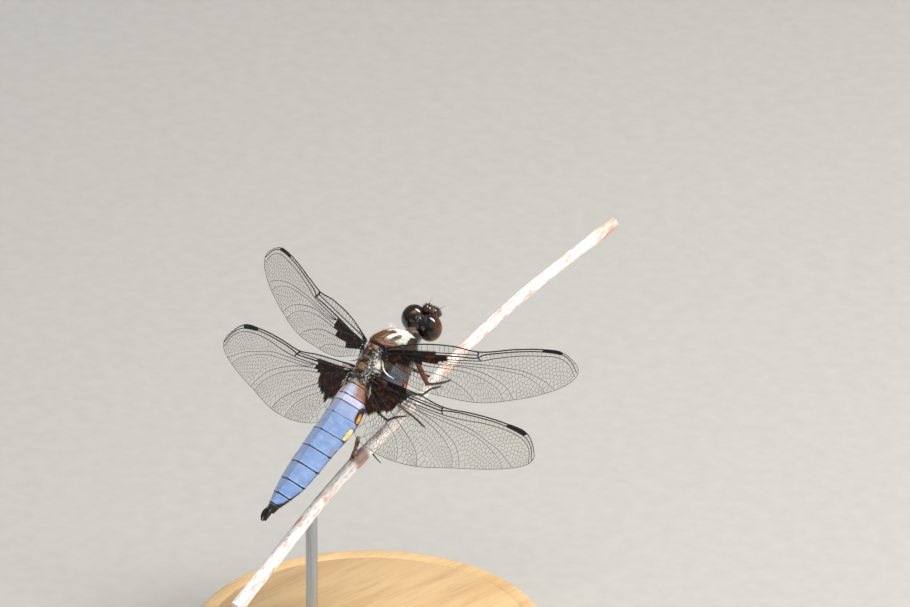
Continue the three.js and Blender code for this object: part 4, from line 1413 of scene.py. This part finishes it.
class WingPlan:
    """A wing's veins as heights of y over evenly spaced x, front to rear, its relief and its fine net."""

    def __init__(self, plan):
        self.plan = plan
        line = through(plan["outline"], 16)
        self.outline = line
        tip = int(np.argmax(line[:, 0]))
        self.reach = line[tip, 0] - 0.02
        front, rear = line[: tip + 1], line[tip:][::-1]
        tip_steps = self.reach - 1.6 + 1.6 * np.sin(np.linspace(0, np.pi / 2, 16))
        self.x = np.concatenate([np.arange(-0.2, 10, 0.2), np.arange(10, self.reach - 1.7, 0.34), tip_steps])
        rear_x = np.maximum.accumulate(rear[:, 0])
        self.lines = [np.interp(self.x, front[:, 0], front[:, 1])]
        margin = np.interp(self.x, rear_x, rear[:, 1])
        self.heights = [0.0]
        for name, (_, _, height) in VEINS.items():
            track = through(plan["veins"][name], 16)
            y = np.interp(self.x, track[:, 0], track[:, 1])
            before = self.lines[-1]
            y = np.where(self.x < track[0, 0], before, y)
            y = np.where(self.x > track[-1, 0], before if name == "subcosta" else margin, y)
            self.lines.append(np.clip(y, margin, before))
            self.heights.append(height)
        self.lines.append(margin)
        self.heights.append(0.0)
        self.fields = [divide_field(self, i, seed=100 + i) for i in range(len(FIELDS))]

    def line_at(self, i, x):
        """Where vein i runs at x."""
        return np.interp(x, self.x, self.lines[i])

    def height(self, x, y):
        """The pleated wing's height over its plane."""
        x, y = np.atleast_1d(x), np.atleast_1d(y)
        total = np.zeros(len(x))
        for i in range(len(self.lines) - 1):
            above, below = self.line_at(i, x), self.line_at(i + 1, x)
            inside = (y <= above + 1e-6) & (y >= below - 1e-6) & (above - below > 1e-4)
            share = np.clip((above - y) / np.maximum(above - below, 1e-4), 0, 1)
            flat = self.heights[i] * (1 - share) + self.heights[i + 1] * share
            total = np.where(inside, flat, total)
        fade = 1 - 0.72 * blend(x, 2, self.reach - 4)
        return total * fade - 0.00022 * np.maximum(x, 0) ** 2 + 0.1 * np.sin(np.clip(x, 0, 40) / 9)

    def lifted(self, points):
        """Flat points on the pleated wing."""
        points = np.asarray(points, float)
        return np.column_stack([points, self.height(points[:, 0], points[:, 1])])


def first_middles(wing, i, seed):
    """Middles of a field's cells, laid out in rows along its veins."""
    pitch, tall, lean, _ = FIELDS[i]
    draw = random.Random(seed)
    middles = []
    x, column = 0.35, 0
    while x < wing.reach - 0.25:
        width = float(wing.line_at(i, x) - wing.line_at(i + 1, x))
        slope = float(wing.line_at(i, x + 0.2) - wing.line_at(i, x - 0.2)) / 0.4
        level = 1 / math.sqrt(1 + slope * slope)
        finer = 1 - 0.1 * min(1, x / wing.reach)
        rows = max(1, round(width * level / (tall * finer)))
        for row in range(rows if width > 0.12 else 0):
            place = (row + 0.5 * (1 + column % 2 * (rows > 2 and row < rows - 1))) / rows
            shift = 0.5 * pitch * (row % 2) if rows == 2 else 0
            middle_x = x + shift + draw.uniform(-0.05, 0.05) + lean * place * width
            y = float(wing.line_at(i, x)) - place * width + draw.uniform(-0.04, 0.04) * (rows > 1)
            if wing.line_at(i + 1, middle_x) < y < wing.line_at(i, middle_x):
                middles.append((middle_x, y))
        x += pitch * finer * level
        column += 1
    return middles


def divide_field(wing, i, seed):
    """The cross veins of the field behind vein i, as short lines, and the middles of its cells."""
    stretch = FIELDS[i][3]
    middles = first_middles(wing, i, seed)
    if len(middles) < 3:
        return [], middles
    for _ in range(4):
        corners = part_cells(wing, i, middles, stretch)[1]
        for k, around in corners.items():
            x, y = 0.35 * np.array(middles[k]) + 0.65 * np.mean(around, axis=0)
            if wing.line_at(i + 1, x) + 0.05 < y < wing.line_at(i, x) - 0.05 and x < wing.reach - 0.15:
                middles[k] = (float(x), float(y))
    lines = part_cells(wing, i, middles, stretch)[0]
    kept = [clipped(wing, i, start, end) for start, end in lines]
    return [line for line in kept if line is not None], middles


def part_cells(wing, i, middles, stretch):
    """Lines halfway between neighbouring middles, and each cell's corners. A field's edges act as mirrors."""
    wide = [(x * stretch, y) for x, y in middles]
    given = list(wide)
    for x, y in wide:
        for edge in (i, i + 1):
            away = y - float(wing.line_at(edge, x / stretch))
            if abs(away) < 2.2:
                rise = wing.line_at(edge, (x + 0.1) / stretch) - wing.line_at(edge, (x - 0.1) / stretch)
                slope = float(rise) / 0.2
                turn = 2 * away / (1 + slope * slope)
                given.append((x + turn * slope, y - turn))
    given += [(-60, -60), (140, -60), (-60, 60), (140, 60)]
    points, _, triangles, sources, _, _ = delaunay_2d_cdt([Vector(p) for p in given], [], [], 0, 1e-5)
    kin = [min(source) if source else len(given) for source in sources]
    centres, shared, corners = [], {}, {}
    for t, triangle in enumerate(triangles):
        centre = circle_centre([points[k] for k in triangle]) / (stretch, 1)
        centres.append(centre)
        for k in range(3):
            pair = tuple(sorted((triangle[k], triangle[(k + 1) % 3])))
            shared.setdefault(pair, []).append(t)
            low, high = wing.line_at(i + 1, centre[0]), wing.line_at(i, centre[0])
            if kin[triangle[k]] < len(middles):
                held = (centre[0], float(np.clip(centre[1], low, high)))
                corners.setdefault(kin[triangle[k]], []).append(held)
    lines = [
        (centres[sides[0]], centres[sides[1]])
        for (a, b), sides in shared.items()
        if len(sides) == 2 and kin[a] < len(middles) and kin[b] < len(middles)
    ]
    return lines, corners


def circle_centre(corners):
    """Middle of the circle through three points."""
    (ax, ay), (bx, by), (cx, cy) = corners
    d = 2 * (ax * (by - cy) + bx * (cy - ay) + cx * (ay - by)) or 1e-9
    a2, b2, c2 = ax * ax + ay * ay, bx * bx + by * by, cx * cx + cy * cy
    return np.array([
        (a2 * (by - cy) + b2 * (cy - ay) + c2 * (ay - by)) / d,
        (a2 * (cx - bx) + b2 * (ax - cx) + c2 * (bx - ax)) / d,
    ])


def clipped(wing, i, start, end):
    """The part of a line that lies between vein i and the next one."""
    share = np.linspace(0, 1, 25)[:, None]
    track = start + (end - start) * share
    inside = (track[:, 1] <= wing.line_at(i, track[:, 0]) + 0.02)
    inside &= (track[:, 1] >= wing.line_at(i + 1, track[:, 0]) - 0.02)
    inside &= (track[:, 0] > -0.1) & (track[:, 0] < wing.reach)
    kept = np.flatnonzero(inside)
    if len(kept) < 2:
        return None
    start, end = track[kept[0]], track[kept[-1]]
    return None if np.linalg.norm(end - start) < 0.06 else (start, end)


def wires(name, lines, thicknesses, corners):
    """Round wires along lines, as a mesh: each line has its own thickness at each point."""
    data = bpy.data.curves.new(name, "CURVE")
    data.dimensions = "3D"
    data.bevel_depth = 1.0
    data.bevel_resolution = max(0, corners // 2 - 2)
    data.use_fill_caps = True
    for line, thick in zip(lines, thicknesses):
        spline = data.splines.new("POLY")
        spline.points.add(len(line) - 1)
        fill(spline.points, "co", np.hstack([line, np.ones((len(line), 1))]))
        fill(spline.points, "radius", np.asarray(thick) / 2)
    new_piece(name, data)
    bpy.ops.object.convert(target="MESH")
    return take_new(name)


def net_of(name, wing):
    """The fine net: loose edges joined where they meet, then turned to round wires of one thickness."""
    ends, edges, known = [], [], {}
    for line in (line for lines, _ in wing.fields for line in lines):
        pair = []
        for end in line:
            key = (round(end[0] / 0.03), round(end[1] / 0.03))
            if key not in known:
                known[key] = len(ends)
                ends.append(end)
            pair.append(known[key])
        if pair[0] != pair[1]:
            edges.append(tuple(pair))
    mesh_piece(name, wing.lifted(ends), [], sorted(set(edges)))
    bpy.ops.object.convert(target="CURVE")
    piece = bpy.context.object
    piece.data.bevel_depth = NET_THICKNESS / 2
    piece.data.bevel_resolution = 0
    for spline in piece.data.splines:
        for point in spline.points:
            point.radius = 1.45 - 0.6 * min(1, max(0, point.co.x / 16))
    piece.data.use_fill_caps = True
    bpy.ops.object.convert(target="MESH")
    return take_new(name)


def make_veins(name, wing, home, chitin):
    """Stout named veins, the nodus that braces the front edge, and the fine net between them."""
    plan = wing.plan
    edge, reach = even_steps(wing.outline, 190)
    edge = np.vstack([edge, edge[:1]])
    share = np.append(reach / reach[-1], 1.0)
    outer = blend(share, 0.5, 0.36)
    tracks = [wing.lifted(edge)]
    thick = [EDGE_THICKNESS * (0.36 + 0.64 * outer) + 0.1 * blend(share, 0.06, 0.0)]
    for vein, (at_root, at_tip, _) in VEINS.items():
        points = plan["veins"][vein]
        line, share = stroke(points, max(12, int(3 * len(points) + points[-1][0])))
        tracks.append(wing.lifted(line))
        thick.append(at_root + (at_tip - at_root) * share**0.6)
    nodus = plan["nodus"]
    brace = [[nodus - 0.25, wing.line_at(0, nodus) - 0.05], [nodus - 0.15, wing.line_at(2, nodus) + 0.05],
             [nodus + 0.35, wing.line_at(3, nodus + 0.4) + 0.02]]
    tracks.append(wing.lifted(stroke(brace, 12)[0]))
    thick.append(np.linspace(0.34, 0.2, 12))
    stout = wires(name + "_veins", tracks, thick, 6)
    net = net_of(name + "_net", wing)
    for part, colour in ((stout, "#120c08"), (net, "#33261a")):
        points = vertices_of(part)
        rows = plain(points, colour)
        behind = blend(-points[:, 1], 3.0, 6.0) * blend(points[:, 0], 6, 12) * (part is stout)
        rows = over(rows, "#33261a", 0.8 * behind)
        rooted = inside_shape(points, wing.dark) * blend(-points[:, 1], 1.2, 2.2)
        paint(part, "markings", over(rows, "#5c4028", 0.8 * rooted * (part is net)))
    piece = joined(name + "_veins", [stout, net])
    return settle(piece, home, chitin, "black_cuticle", angle=70)


def nearest_cell(points, middles):
    """For each point the middle of the cell that it lies in."""
    middles = np.array(middles)
    away = ((points[:, None] - middles[None]) ** 2).sum(2)
    return middles[np.argmin(away, axis=1)]


def inside_shape(points, corners):
    """Whether each point lies inside a closed outline."""
    corners = np.array(corners)
    inside = np.zeros(len(points), bool)
    for (x1, y1), (x2, y2) in zip(corners, np.roll(corners, -1, axis=0)):
        crosses = (y1 > points[:, 1]) != (y2 > points[:, 1])
        where = (x2 - x1) * (points[:, 1] - y1) / ((y2 - y1) or 1e-9) + x1
        inside ^= crosses & (points[:, 0] < where)
    return inside


def make_film(name, wing, home, film):
    """The clear membrane, pleated between the veins, dark at the wing's root up to whole cells."""
    levels, owner = [], []
    for i in range(len(wing.lines) - 1):
        above, below = wing.lines[i], wing.lines[i + 1]
        rows = max(1, math.ceil(float((above - below).max()) / 0.36))
        for row in range(rows):
            levels.append(above + (below - above) * row / rows)
            owner.append(i)
    levels.append(wing.lines[-1])
    owner.append(len(wing.lines) - 2)
    levels = np.array(levels)
    across = np.tile(wing.x, (len(levels), 1))
    flat = np.column_stack([across.ravel(), levels.ravel()])
    field = np.repeat(owner, len(wing.x))
    columns = len(wing.x)
    faces = [
        (r * columns + c, (r + 1) * columns + c, (r + 1) * columns + c + 1, r * columns + c + 1)
        for r in range(len(levels) - 1)
        for c in range(columns - 1)
        if abs(levels[r, c] - levels[r + 1, c]) + abs(levels[r, c + 1] - levels[r + 1, c + 1]) > 1e-3
    ]
    colours = paint_film(wing, flat, field)
    piece = mesh_piece(name + "_film", wing.lifted(flat).tolist(), faces)
    paint(piece, "film", colours)
    with editing(piece):
        bpy.ops.mesh.remove_doubles(threshold=0.004)
        bpy.ops.mesh.select_all(action="SELECT")
        bpy.ops.mesh.dissolve_degenerate(threshold=0.003)
        bpy.ops.mesh.delete_loose()
        bpy.ops.mesh.select_all(action="SELECT")
        bpy.ops.mesh.normals_make_consistent(inside=False)
    wall = piece.modifiers.new("wall", "SOLIDIFY")
    wall.thickness = FILM_THICKNESS
    wall.offset = 0
    bpy.ops.object.modifier_apply(modifier="wall")
    settle(piece, home, film, "wing_membrane", name)


def paint_film(wing, flat, field):
    """Colour and opacity of the membrane: smoky clear, dark root cells, amber by the front edge."""
    clear = (*linear("#7d765c")[:3], 0.07)
    colours = np.tile(np.array(clear), (len(flat), 1))
    level = np.column_stack([flat, np.zeros(len(flat))])
    colours[:, 3] += 0.015 * rough(level, 2.5, 61)
    for i, (_, middles) in enumerate(wing.fields):
        mine = np.flatnonzero(field == i)
        if len(mine) == 0 or len(middles) < 2:
            continue
        near = nearest_cell(flat[mine], middles)
        dark = inside_shape(near, wing.dark)
        chosen = mine[dark]
        brown = layered(plain(chosen, "#0d0705"), [
            ("#24100a", 0.8 * blend(rough(level[chosen], 1.1, 62), -0.4, 0.5)),
            ("#5a3019", 0.7 * blend(rough(level[chosen], 0.7, 63), 0.16, 0.4)),
        ])
        # painted glow: red-brown cells where light shines through the dark patch, on the right forewing only
        if wing.ember:
            glow = (np.abs(near[dark, 0] - wing.ember) < 1.0) & (np.abs(near[dark, 1] + 0.93) < 0.32)
            brown = over(brown, "#7d3210", 0.9 * glow)
        colours[chosen, :3] = brown
        colours[chosen, 3] = 0.95
        rim = np.abs(near[dark] - flat[chosen]).max(axis=1) < 0.16
        colours[chosen[rim], 3] = 0.86
        if i == 0:
            amber = mine[near[:, 0] < 2.2]
            colours[amber] = (*linear("#8a5f22")[:3], 0.3)
    return colours


def make_stigma(name, wing, home, black):
    """The thick dark cell between the front edge and the next vein, near the tip."""
    start, end = wing.plan["stigma"]
    turns = np.linspace(0, 2 * np.pi, 12, endpoint=False)
    across, up = np.cos(turns), np.sin(turns)
    rings = []
    for share in np.linspace(0, 1, 26):
        x = start + (end - start) * share
        front, rear = wing.line_at(0, x), wing.line_at(2, x)
        close = 0.35 + 0.65 * min(1, 9 * share, 9 * (1 - share))
        middle, half = (front + rear) / 2, ((front - rear) / 2 + 0.1) * close
        height = wing.height(x, middle)[0]
        ring = [x + 0.12 * across, middle + half * across, height + 0.16 * close * up]
        rings.append(np.column_stack(ring))
    piece = loft(f"{name}_cell", rings)
    settle(piece, home, black, "black_cuticle", name, angle=50)


def make_wings(film, chitin, black, cuticle):
    """Four wings from two plans. A left wing is its plan mirrored, with its own dark patch."""
    plans = {"fore": WingPlan(FOREWING), "hind": WingPlan(HINDWING)}
    for name, (side, hinge, sweep, droop, pitch) in WINGS.items():
        wing = plans[hinge]
        home = wing_home(side, hinge, sweep, droop, pitch)
        wing.dark = wing.plan["dark"][side]
        wing.ember = wing.plan["ember"] if side == 1 else None
        make_film(name, wing, home, film)
        make_veins(name, wing, home, chitin)
        make_stigma(f"pterostigma_{name.replace('wing', '')}", wing, home, black)
        make_wing_joint(name, wing, home, cuticle)


def make_wing_joint(name, wing, home, cuticle):
    """Hard plates at the wing's root, and the pale cord along its rear edge."""
    first = wing.plan["veins"]["radius"][0][1]
    plates = [
        ((0.1, -0.05, 0.06), (0.85, 0.24, 0.2), "#120d0b"),
        ((-0.35, first + 0.05, 0.1), (0.62, 0.26, 0.26), "#2a160c"),
        ((0.35, first - 0.2, 0.04), (0.6, 0.14, 0.13), "#15100d"),
        ((-0.4, first - 0.8, 0.0), (0.62, 0.5, 0.1), "#2a1d14"),
        ((0.05, first - 1.3, -0.06), (0.48, 0.16, 0.12), "#211610"),
        ((-0.35, first - 1.7, -0.22), (0.6, 0.3, 0.06), "#7b6f64"),
        ((-0.45, first - 2.3, -0.34), (0.75, 0.34, 0.05), "#6d645c"),
    ]
    parts, colours = [], []
    for centre, radii, colour in plates:
        plate = ball("plate", centre, radii, around=28)
        points = vertices_of(plate)
        crease = 0.16 * rough(points, 0.36, 71) + 0.06 * rough(points, 0.14, 72)
        move_points(plate, points + np.outer(crease, (0.2, 0.4, 1.0)))
        parts.append(plate)
        rows = plain(points, colour)
        colours.append(over(rows, "#1c1411", 0.85 * blend(rough(points, 0.3, 73), 0.0, 0.35)))
    line = stroke(wing.plan["cord"], 24)[0]
    girth = 0.06 + 0.15 * np.sin(np.pi * np.linspace(0.08, 0.92, 24))
    cord = loft("cord", tube_rings(line, girth, 12, first=(1, 0, 0), flatten=0.6))
    parts.append(cord)
    colours.append(plain(cord.data.vertices, wing.plan["cord_colour"]))
    piece = joined(name + "_joint", parts)
    paint(piece, "markings", np.concatenate(colours))
    settle(piece, home, cuticle, "thorax")


# ------- legs
# In the insect's frame: knee, heel on the stem, and the foot's line to the claws.
LEGS = {
    "fore_right": ((2.6, 4.2, -13.3), (1.5, 6.8, -17.2), (1.7, 8.1, -18.2)),
    "fore_left": ((-3.2, 5.2, -13.0), (-1.3, 7.0, -17.6), (-1.2, 9.3, -18.0)),
    "mid_right": ((4.3, -0.9, -7.9), (1.7, 2.8, -15.0), (1.5, 4.6, -16.0), (1.6, 6.0, -17.3)),
    "mid_left": ((-4.6, 0.2, -10.8), (-1.3, 2.7, -16.8), (-1.2, 5.6, -17.6)),
    "hind_right": ((4.4, -3.2, -6.8), (1.3, -1.0, -16.0), (1.7, -0.9, -17.4), (2.4, -0.9, -19.2)),
    "hind_left": ((-5.0, -4.1, -9.5), (-0.4, -4.3, -14.1), (0.5, -3.0, -14.4), (1.35, -1.9, -15.2)),
}


def bristle_model():
    """A stiff spine a unit long along z, from a cone whose tip is drawn over to one side."""
    nothing_selected()
    bpy.ops.mesh.primitive_cone_add(vertices=5, radius1=0.045, radius2=0.006, depth=1, location=(0, 0, 0.5))
    bpy.ops.object.transform_apply(location=True)
    model = take_new("bristle")
    push(model, lambda p: np.outer(0.14 * p[:, 2] ** 2, (1, 0, 0)))
    return model


def limb_spines(model, line, girth, rows, count, length, seed):
    """Rows of spines on a limb, each leaning out and towards the foot; rows are turns in degrees."""
    draw = random.Random(seed)
    ahead, right, up = ways_across(line)
    places = []
    for row, turn in enumerate(rows):
        for k in range(count):
            share = 0.14 + 0.8 * (k + 0.5 * (row % 2)) / count
            i = min(len(line) - 1, int(share * len(line)))
            angle = math.radians(turn + draw.uniform(-9, 9))
            out = right[i] * math.cos(angle) + up[i] * math.sin(angle)
            z = Vector(out * 0.8 + ahead[i] * 0.62).normalized()
            x = z.orthogonal().normalized()
            long = length * draw.uniform(0.75, 1.1)
            thick = 0.6 + 0.4 * long
            root = Matrix.Translation(line[i] + out * girth[i] * 0.8)
            places.append(root @ turned_to(x, z.cross(x), z) @ Matrix.Diagonal((thick, thick, long, 1)))
    return copies("spines", model, places)


def finish_limb(name, parts, finish, slot, node):
    """Joins the parts of a limb and puts them in place."""
    settle(joined(name, parts), INSECT, finish, slot, node, angle=60)


def make_legs(red, black):
    """Six legs: hip joints and thigh red-brown, spined shin and three-jointed clawed foot black."""
    model = bristle_model()
    for seed, (name, (knee, heel, *foot)) in enumerate(LEGS.items()):
        pair, hand = name.split("_")
        side = SIDES[hand]
        hip = (side * HIPS[pair][0], *HIPS[pair][1:])
        start = (hip[0] * 0.9, hip[1] + 0.3, hip[2] + 1.0)
        trochanter = tuple(h + 0.22 * (k - h) for h, k in zip(hip, knee))
        line, share = stroke([start, hip, trochanter, knee], 46)
        girth = 0.8 - 0.34 * blend(share, 0.05, 0.26) - 0.1 * blend(share, 0.7, 0.95)
        girth = girth + 0.06 * hump(share, 0.04, 0.25) - 0.09 * hump(share, 0.02, 0.31)
        girth = girth + 0.035 * hump(share, 0.04, 0.97)
        thigh = loft("thigh", tube_rings(line, girth, 18))
        spines = limb_spines(model, line[16:], girth[16:], (250, 290), 7, 0.34, seed)
        finish_limb(f"femur_{name}_thigh", [thigh, spines], red, "red_cuticle", f"femur_{name}")

        line, share = stroke([knee, heel], 30)
        line = line + np.outer(np.sin(np.pi * share), (0.12 * side, 0, 0))
        girth = 0.27 - 0.07 * blend(share, 0.05, 0.5) + 0.03 * hump(share, 0.06, 1)
        shin = loft("shin", tube_rings(line, girth, 14))
        spines = limb_spines(model, line, girth, (215, 325), 9, 0.95, 20 + seed)
        finish_limb(f"tibia_{name}_shin", [shin, spines], black, "black_cuticle", f"tibia_{name}")

        line, share = stroke([heel, *foot], 44)
        girth = 0.17 - 0.02 * share
        for joint in (0.22, 0.5):
            girth = girth + 0.045 * hump(share, 0.03, joint - 0.03)
            girth = girth - 0.05 * hump(share, 0.014, joint + 0.015)
        parts = [loft("foot", tube_rings(line, girth, 12))]
        parts.append(limb_spines(model, line, girth, (230, 310), 6, 0.3, 40 + seed))
        tip, (ahead, right, up) = line[-1], (ways[-1] for ways in ways_across(line))
        for way in (1, -1):
            bend = tip + ahead * 0.28 + right * way * 0.16
            end = tip + ahead * 0.42 + right * way * 0.3 - up * 0.14
            claw = stroke([tip, bend, end], 10)[0]
            parts.append(loft("claw", tube_rings(claw, np.linspace(0.075, 0.016, 10), 8)))
        finish_limb(f"tarsus_{name}_foot", parts, black, "black_cuticle", f"tarsus_{name}")
    bpy.data.objects.remove(model)


# ------- perch
# The stem's middle from its low end up: how far back, and the height over the wing hinges.
STEM_LINE = [
    [30, -36.6], [20.3, -30.0], [11.2, -23.8], [3.9, -19.5], [-3.8, -15.7], [-11.5, -11.9],
    [-19, -7.8], [-27.1, -4.2], [-35.4, -1.0], [-44.2, 1.8], [-57.5, 5.6],
]
STEM_RADII = (1.17, 0.94)  # at the low end, and from two thirds up
STEM_NODES = [(0.34, 0.12), (0.585, 0.12), (0.955, 0.22)]  # how far up the joints are, and their swell
STEM_SIDES = 40
SPUR_LINE = [(0, 3.6, -18.6), (0, 2.9, -16.6), (0, 2.2, -14.6)]
THORN_LINE = [(0, -0.76, -18.3), (0.1, -1.9, -19.9), (0.2, -3.07, -21.3)]


def stem_girth(share):
    """The stem's radius along its length, with a ring at each joint."""
    low, high = STEM_RADII
    girth = low + (high - low) * np.minimum(1, share * 1.6)
    for place, rise in STEM_NODES:
        girth = girth + rise * hump(share, 0.02, place)
        girth = girth + 0.05 * hump(share, 0.004, place)
    return girth


def make_stem(dry):
    """The cut reed stem: ribbed along its fibres and ringed at its joints."""
    line, reach = even_steps(through([(0, y, HINGE_HEIGHT + z) for y, z in STEM_LINE]), 260)
    share = reach / reach[-1]
    rings = tube_rings(line, stem_girth(share), STEM_SIDES, first=(1, 0, 0), round_ends=False)
    turns = np.linspace(0, 2 * np.pi, STEM_SIDES, endpoint=False)
    shaped, marks = [], []
    for i, ring in enumerate(rings):
        straight = [(math.cos(t), math.sin(t), reach[i]) for t in turns]
        fibre = np.array([noise.noise(Vector((c * 4.5, s * 4.5, z * 0.07))) for c, s, z in straight])
        lump = np.array([noise.noise(Vector((c * 1.2, s * 1.2, z * 0.35))) for c, s, z in straight])
        grow = 1 + 0.03 * fibre + 0.035 * lump
        shaped.append(line[i] + (ring - line[i]) * grow[:, None])
        marks.append([(c * 1.05, s * 1.05, z) for c, s, z in straight])
    for end, ahead in ((0, line[0] - line[1]), (-1, line[-1] - line[-2])):
        centre = line[end]
        ahead = ahead / np.linalg.norm(ahead)
        for size, push_out in ((0.62, 0.0), (0.81, -0.25)):
            ring = centre + (shaped[end] - centre) * size + ahead * push_out
            mark = [(c * size, s * size, z) for c, s, z in marks[end]]
            shaped.insert(0 if end == 0 else len(shaped), ring)
            marks.insert(0 if end == 0 else len(marks), mark)
    piece = loft("perch_stem_reed", shaped, (np.array(marks) * MM).tolist())
    paint(piece, "markings", paint_stem(vertices_of(piece), piece))
    return settle(piece, STAND, dry, "dry_stem", "perch_stem", angle=50)


def paint_stem(points, piece):
    """Bleached cream, pinker at the joints and the cut top, and grey-brown round the lower joint."""
    length = rows_of(piece.data.attributes["lie"].data, "vector")[:, 2] / MM
    share = length / length.max()
    waver = rough(points, 1.6, 81)
    return layered(plain(points, "#fbf7f4"), [
        ("#e6cdbf", 0.5 * blend(waver, 0.1, 0.5)),
        ("#dfa883", 0.55 * hump(share, 0.06, 0.6) * blend(waver, -0.3, 0.3)),
        ("#d2a08c", 0.7 * blend(share + 0.01 * waver, 0.93, 0.97)),
        ("#6a5a5a", 0.85 * blend(np.abs(share - STEM_NODES[0][0]) + 0.005 * waver, 0.022, 0.01)),
    ])


def make_spur(dry):
    """The broken side shoot, a thin thorn under the stem, and its scar."""
    parts = []
    line, share = stroke([(x, y, HINGE_HEIGHT + z) for x, y, z in SPUR_LINE], 24)
    girth = 0.5 - 0.22 * share + 0.06 * np.sin(9 * share)
    ribs = 0.06 * np.sin(3 * np.arange(16))[:, None]
    rings = [ring + ribs * (ring - ring.mean(0)) for ring in tube_rings(line, girth, 16)]
    parts.append(loft("shoot", rings))
    line = stroke([(x, y, HINGE_HEIGHT + z) for x, y, z in THORN_LINE], 16)[0]
    parts.append(loft("thorn", tube_rings(line, np.linspace(0.17, 0.07, 16), 8)))
    piece = joined("perch_spur_shoot", parts)
    points = vertices_of(piece)
    paint(piece, "markings", layered(plain(points, "#b08a80"), [
        ("#3a2c28", blend(rough(points, 0.5, 83), -0.1, 0.35)),
        ("#4d3d34", blend(points[:, 1], 1.5, 0.5)),
    ]))
    layer = piece.data.attributes.new("lie", "FLOAT_VECTOR", "POINT")
    fill(layer.data, "vector", points * MM)
    settle(piece, STAND, dry, "dry_stem", "perch_spur", angle=50)


# ------- stand
BASE_RADIUS, BASE_HEIGHT, BASE_EDGE = 30.0, 5.0, 0.8
ROD_RADIUS, ROD_BACK = 1.0, 13.0  # the rod stands this far back of the middle


def cylinder(name, sides, radius, low, high, y=0.0):
    """A standing cylinder from its primitive."""
    nothing_selected()
    bpy.ops.mesh.primitive_cylinder_add(
        vertices=sides, radius=radius, depth=high - low, location=(0, y, (high + low) / 2)
    )
    bpy.ops.object.transform_apply(location=True)
    return take_new(name)


def pick(piece, kind, wanted):
    """In edit mode, selects only the edges or faces that are wanted."""
    bpy.ops.mesh.select_all(action="DESELECT")
    for element in getattr(bmesh.from_edit_mesh(piece.data), kind):
        element.select_set(wanted(element))
    bmesh.update_edit_mesh(piece.data)


def make_stand(maple, steel):
    """A turned maple disc with an eased edge, and the steel rod let into it."""
    disc = cylinder("stand_base_disc", 160, BASE_RADIUS, 0, BASE_HEIGHT)
    with editing(disc):
        pick(disc, "edges", lambda edge: all(v.co.z > BASE_HEIGHT - 0.1 for v in edge.verts))
        bpy.ops.mesh.bevel(offset=BASE_EDGE, segments=5, profile=0.6)
        pick(disc, "faces", lambda face: face.normal.z > 0.99 and face.calc_area() > 100)
        for thickness, depth in ((1.6, 0), (0.35, -0.18), (0.3, 0.18)):
            bpy.ops.mesh.inset(thickness=thickness, depth=depth)
        pick(disc, "faces", lambda face: face.normal.z < -0.99 and face.calc_area() > 100)
        bpy.ops.mesh.inset(thickness=0.5)
    settle(disc, STAND, maple, "maple", "stand_base", angle=35)
    top = HINGE_HEIGHT + float(along(STEM_LINE[::-1])(ROD_BACK)[0][0])
    rod = cylinder("stand_rod_bar", 48, ROD_RADIUS, BASE_HEIGHT / 2, top, ROD_BACK)
    with editing(rod):
        pick(rod, "edges", lambda edge: all(v.co.z > top - 0.1 for v in edge.verts))
        bpy.ops.mesh.bevel(offset=0.2, segments=3)
    collar = stroke([[0, ROD_BACK, BASE_HEIGHT], [0, ROD_BACK, BASE_HEIGHT + 0.9]], 8)[0]
    girth = 1.75 - 0.45 * np.linspace(0, 1, 8) ** 2
    ferrule = loft("ferrule", tube_rings(collar, girth, 48, first=(1, 0, 0), round_ends=False))
    settle(joined("stand_rod_bar", [rod, ferrule]), STAND, steel, "steel", "stand_rod", angle=40)


def make_floor(board):
    """A pale flat board."""
    nothing_selected()
    bpy.ops.mesh.primitive_plane_add(size=6)
    floor = take_new("studio_floor")
    floor.data.materials.append(board)


# ------- the model
aim = make_camera()
make_lights(aim)
make_floor(studio_floor())

black = horn("hardened_black_cuticle", "#070606", "#1d1815", 0.28)
red = horn("red_brown_leg_cuticle", "#4a150b", "#8a3620", 0.32)
chitin = painted_cuticle("wing_vein_cuticle", 0.4, 0.12, 0.006)
body_cuticle = painted_cuticle("thorax_cuticle", 0.42, 0.07, 0.03)
face_cuticle = painted_cuticle("polished_face_cuticle", 0.2, 0.09, 0.01, coat=0.5, spread=0.18)
hair = soft_hair()

make_abdomen(waxy_bloom())
make_claspers(black)
coat_the_thorax(make_thorax(body_cuticle), hair)
make_eyes(eye_lens())
make_face(face_cuticle)
make_feelers(black)
coat_the_head(hair)
make_wings(wing_film(), chitin, black, body_cuticle)
make_legs(red, black)
dry = weathered_stem()
make_stem(dry)
make_spur(dry)
make_stand(turned_maple(), brushed_steel())
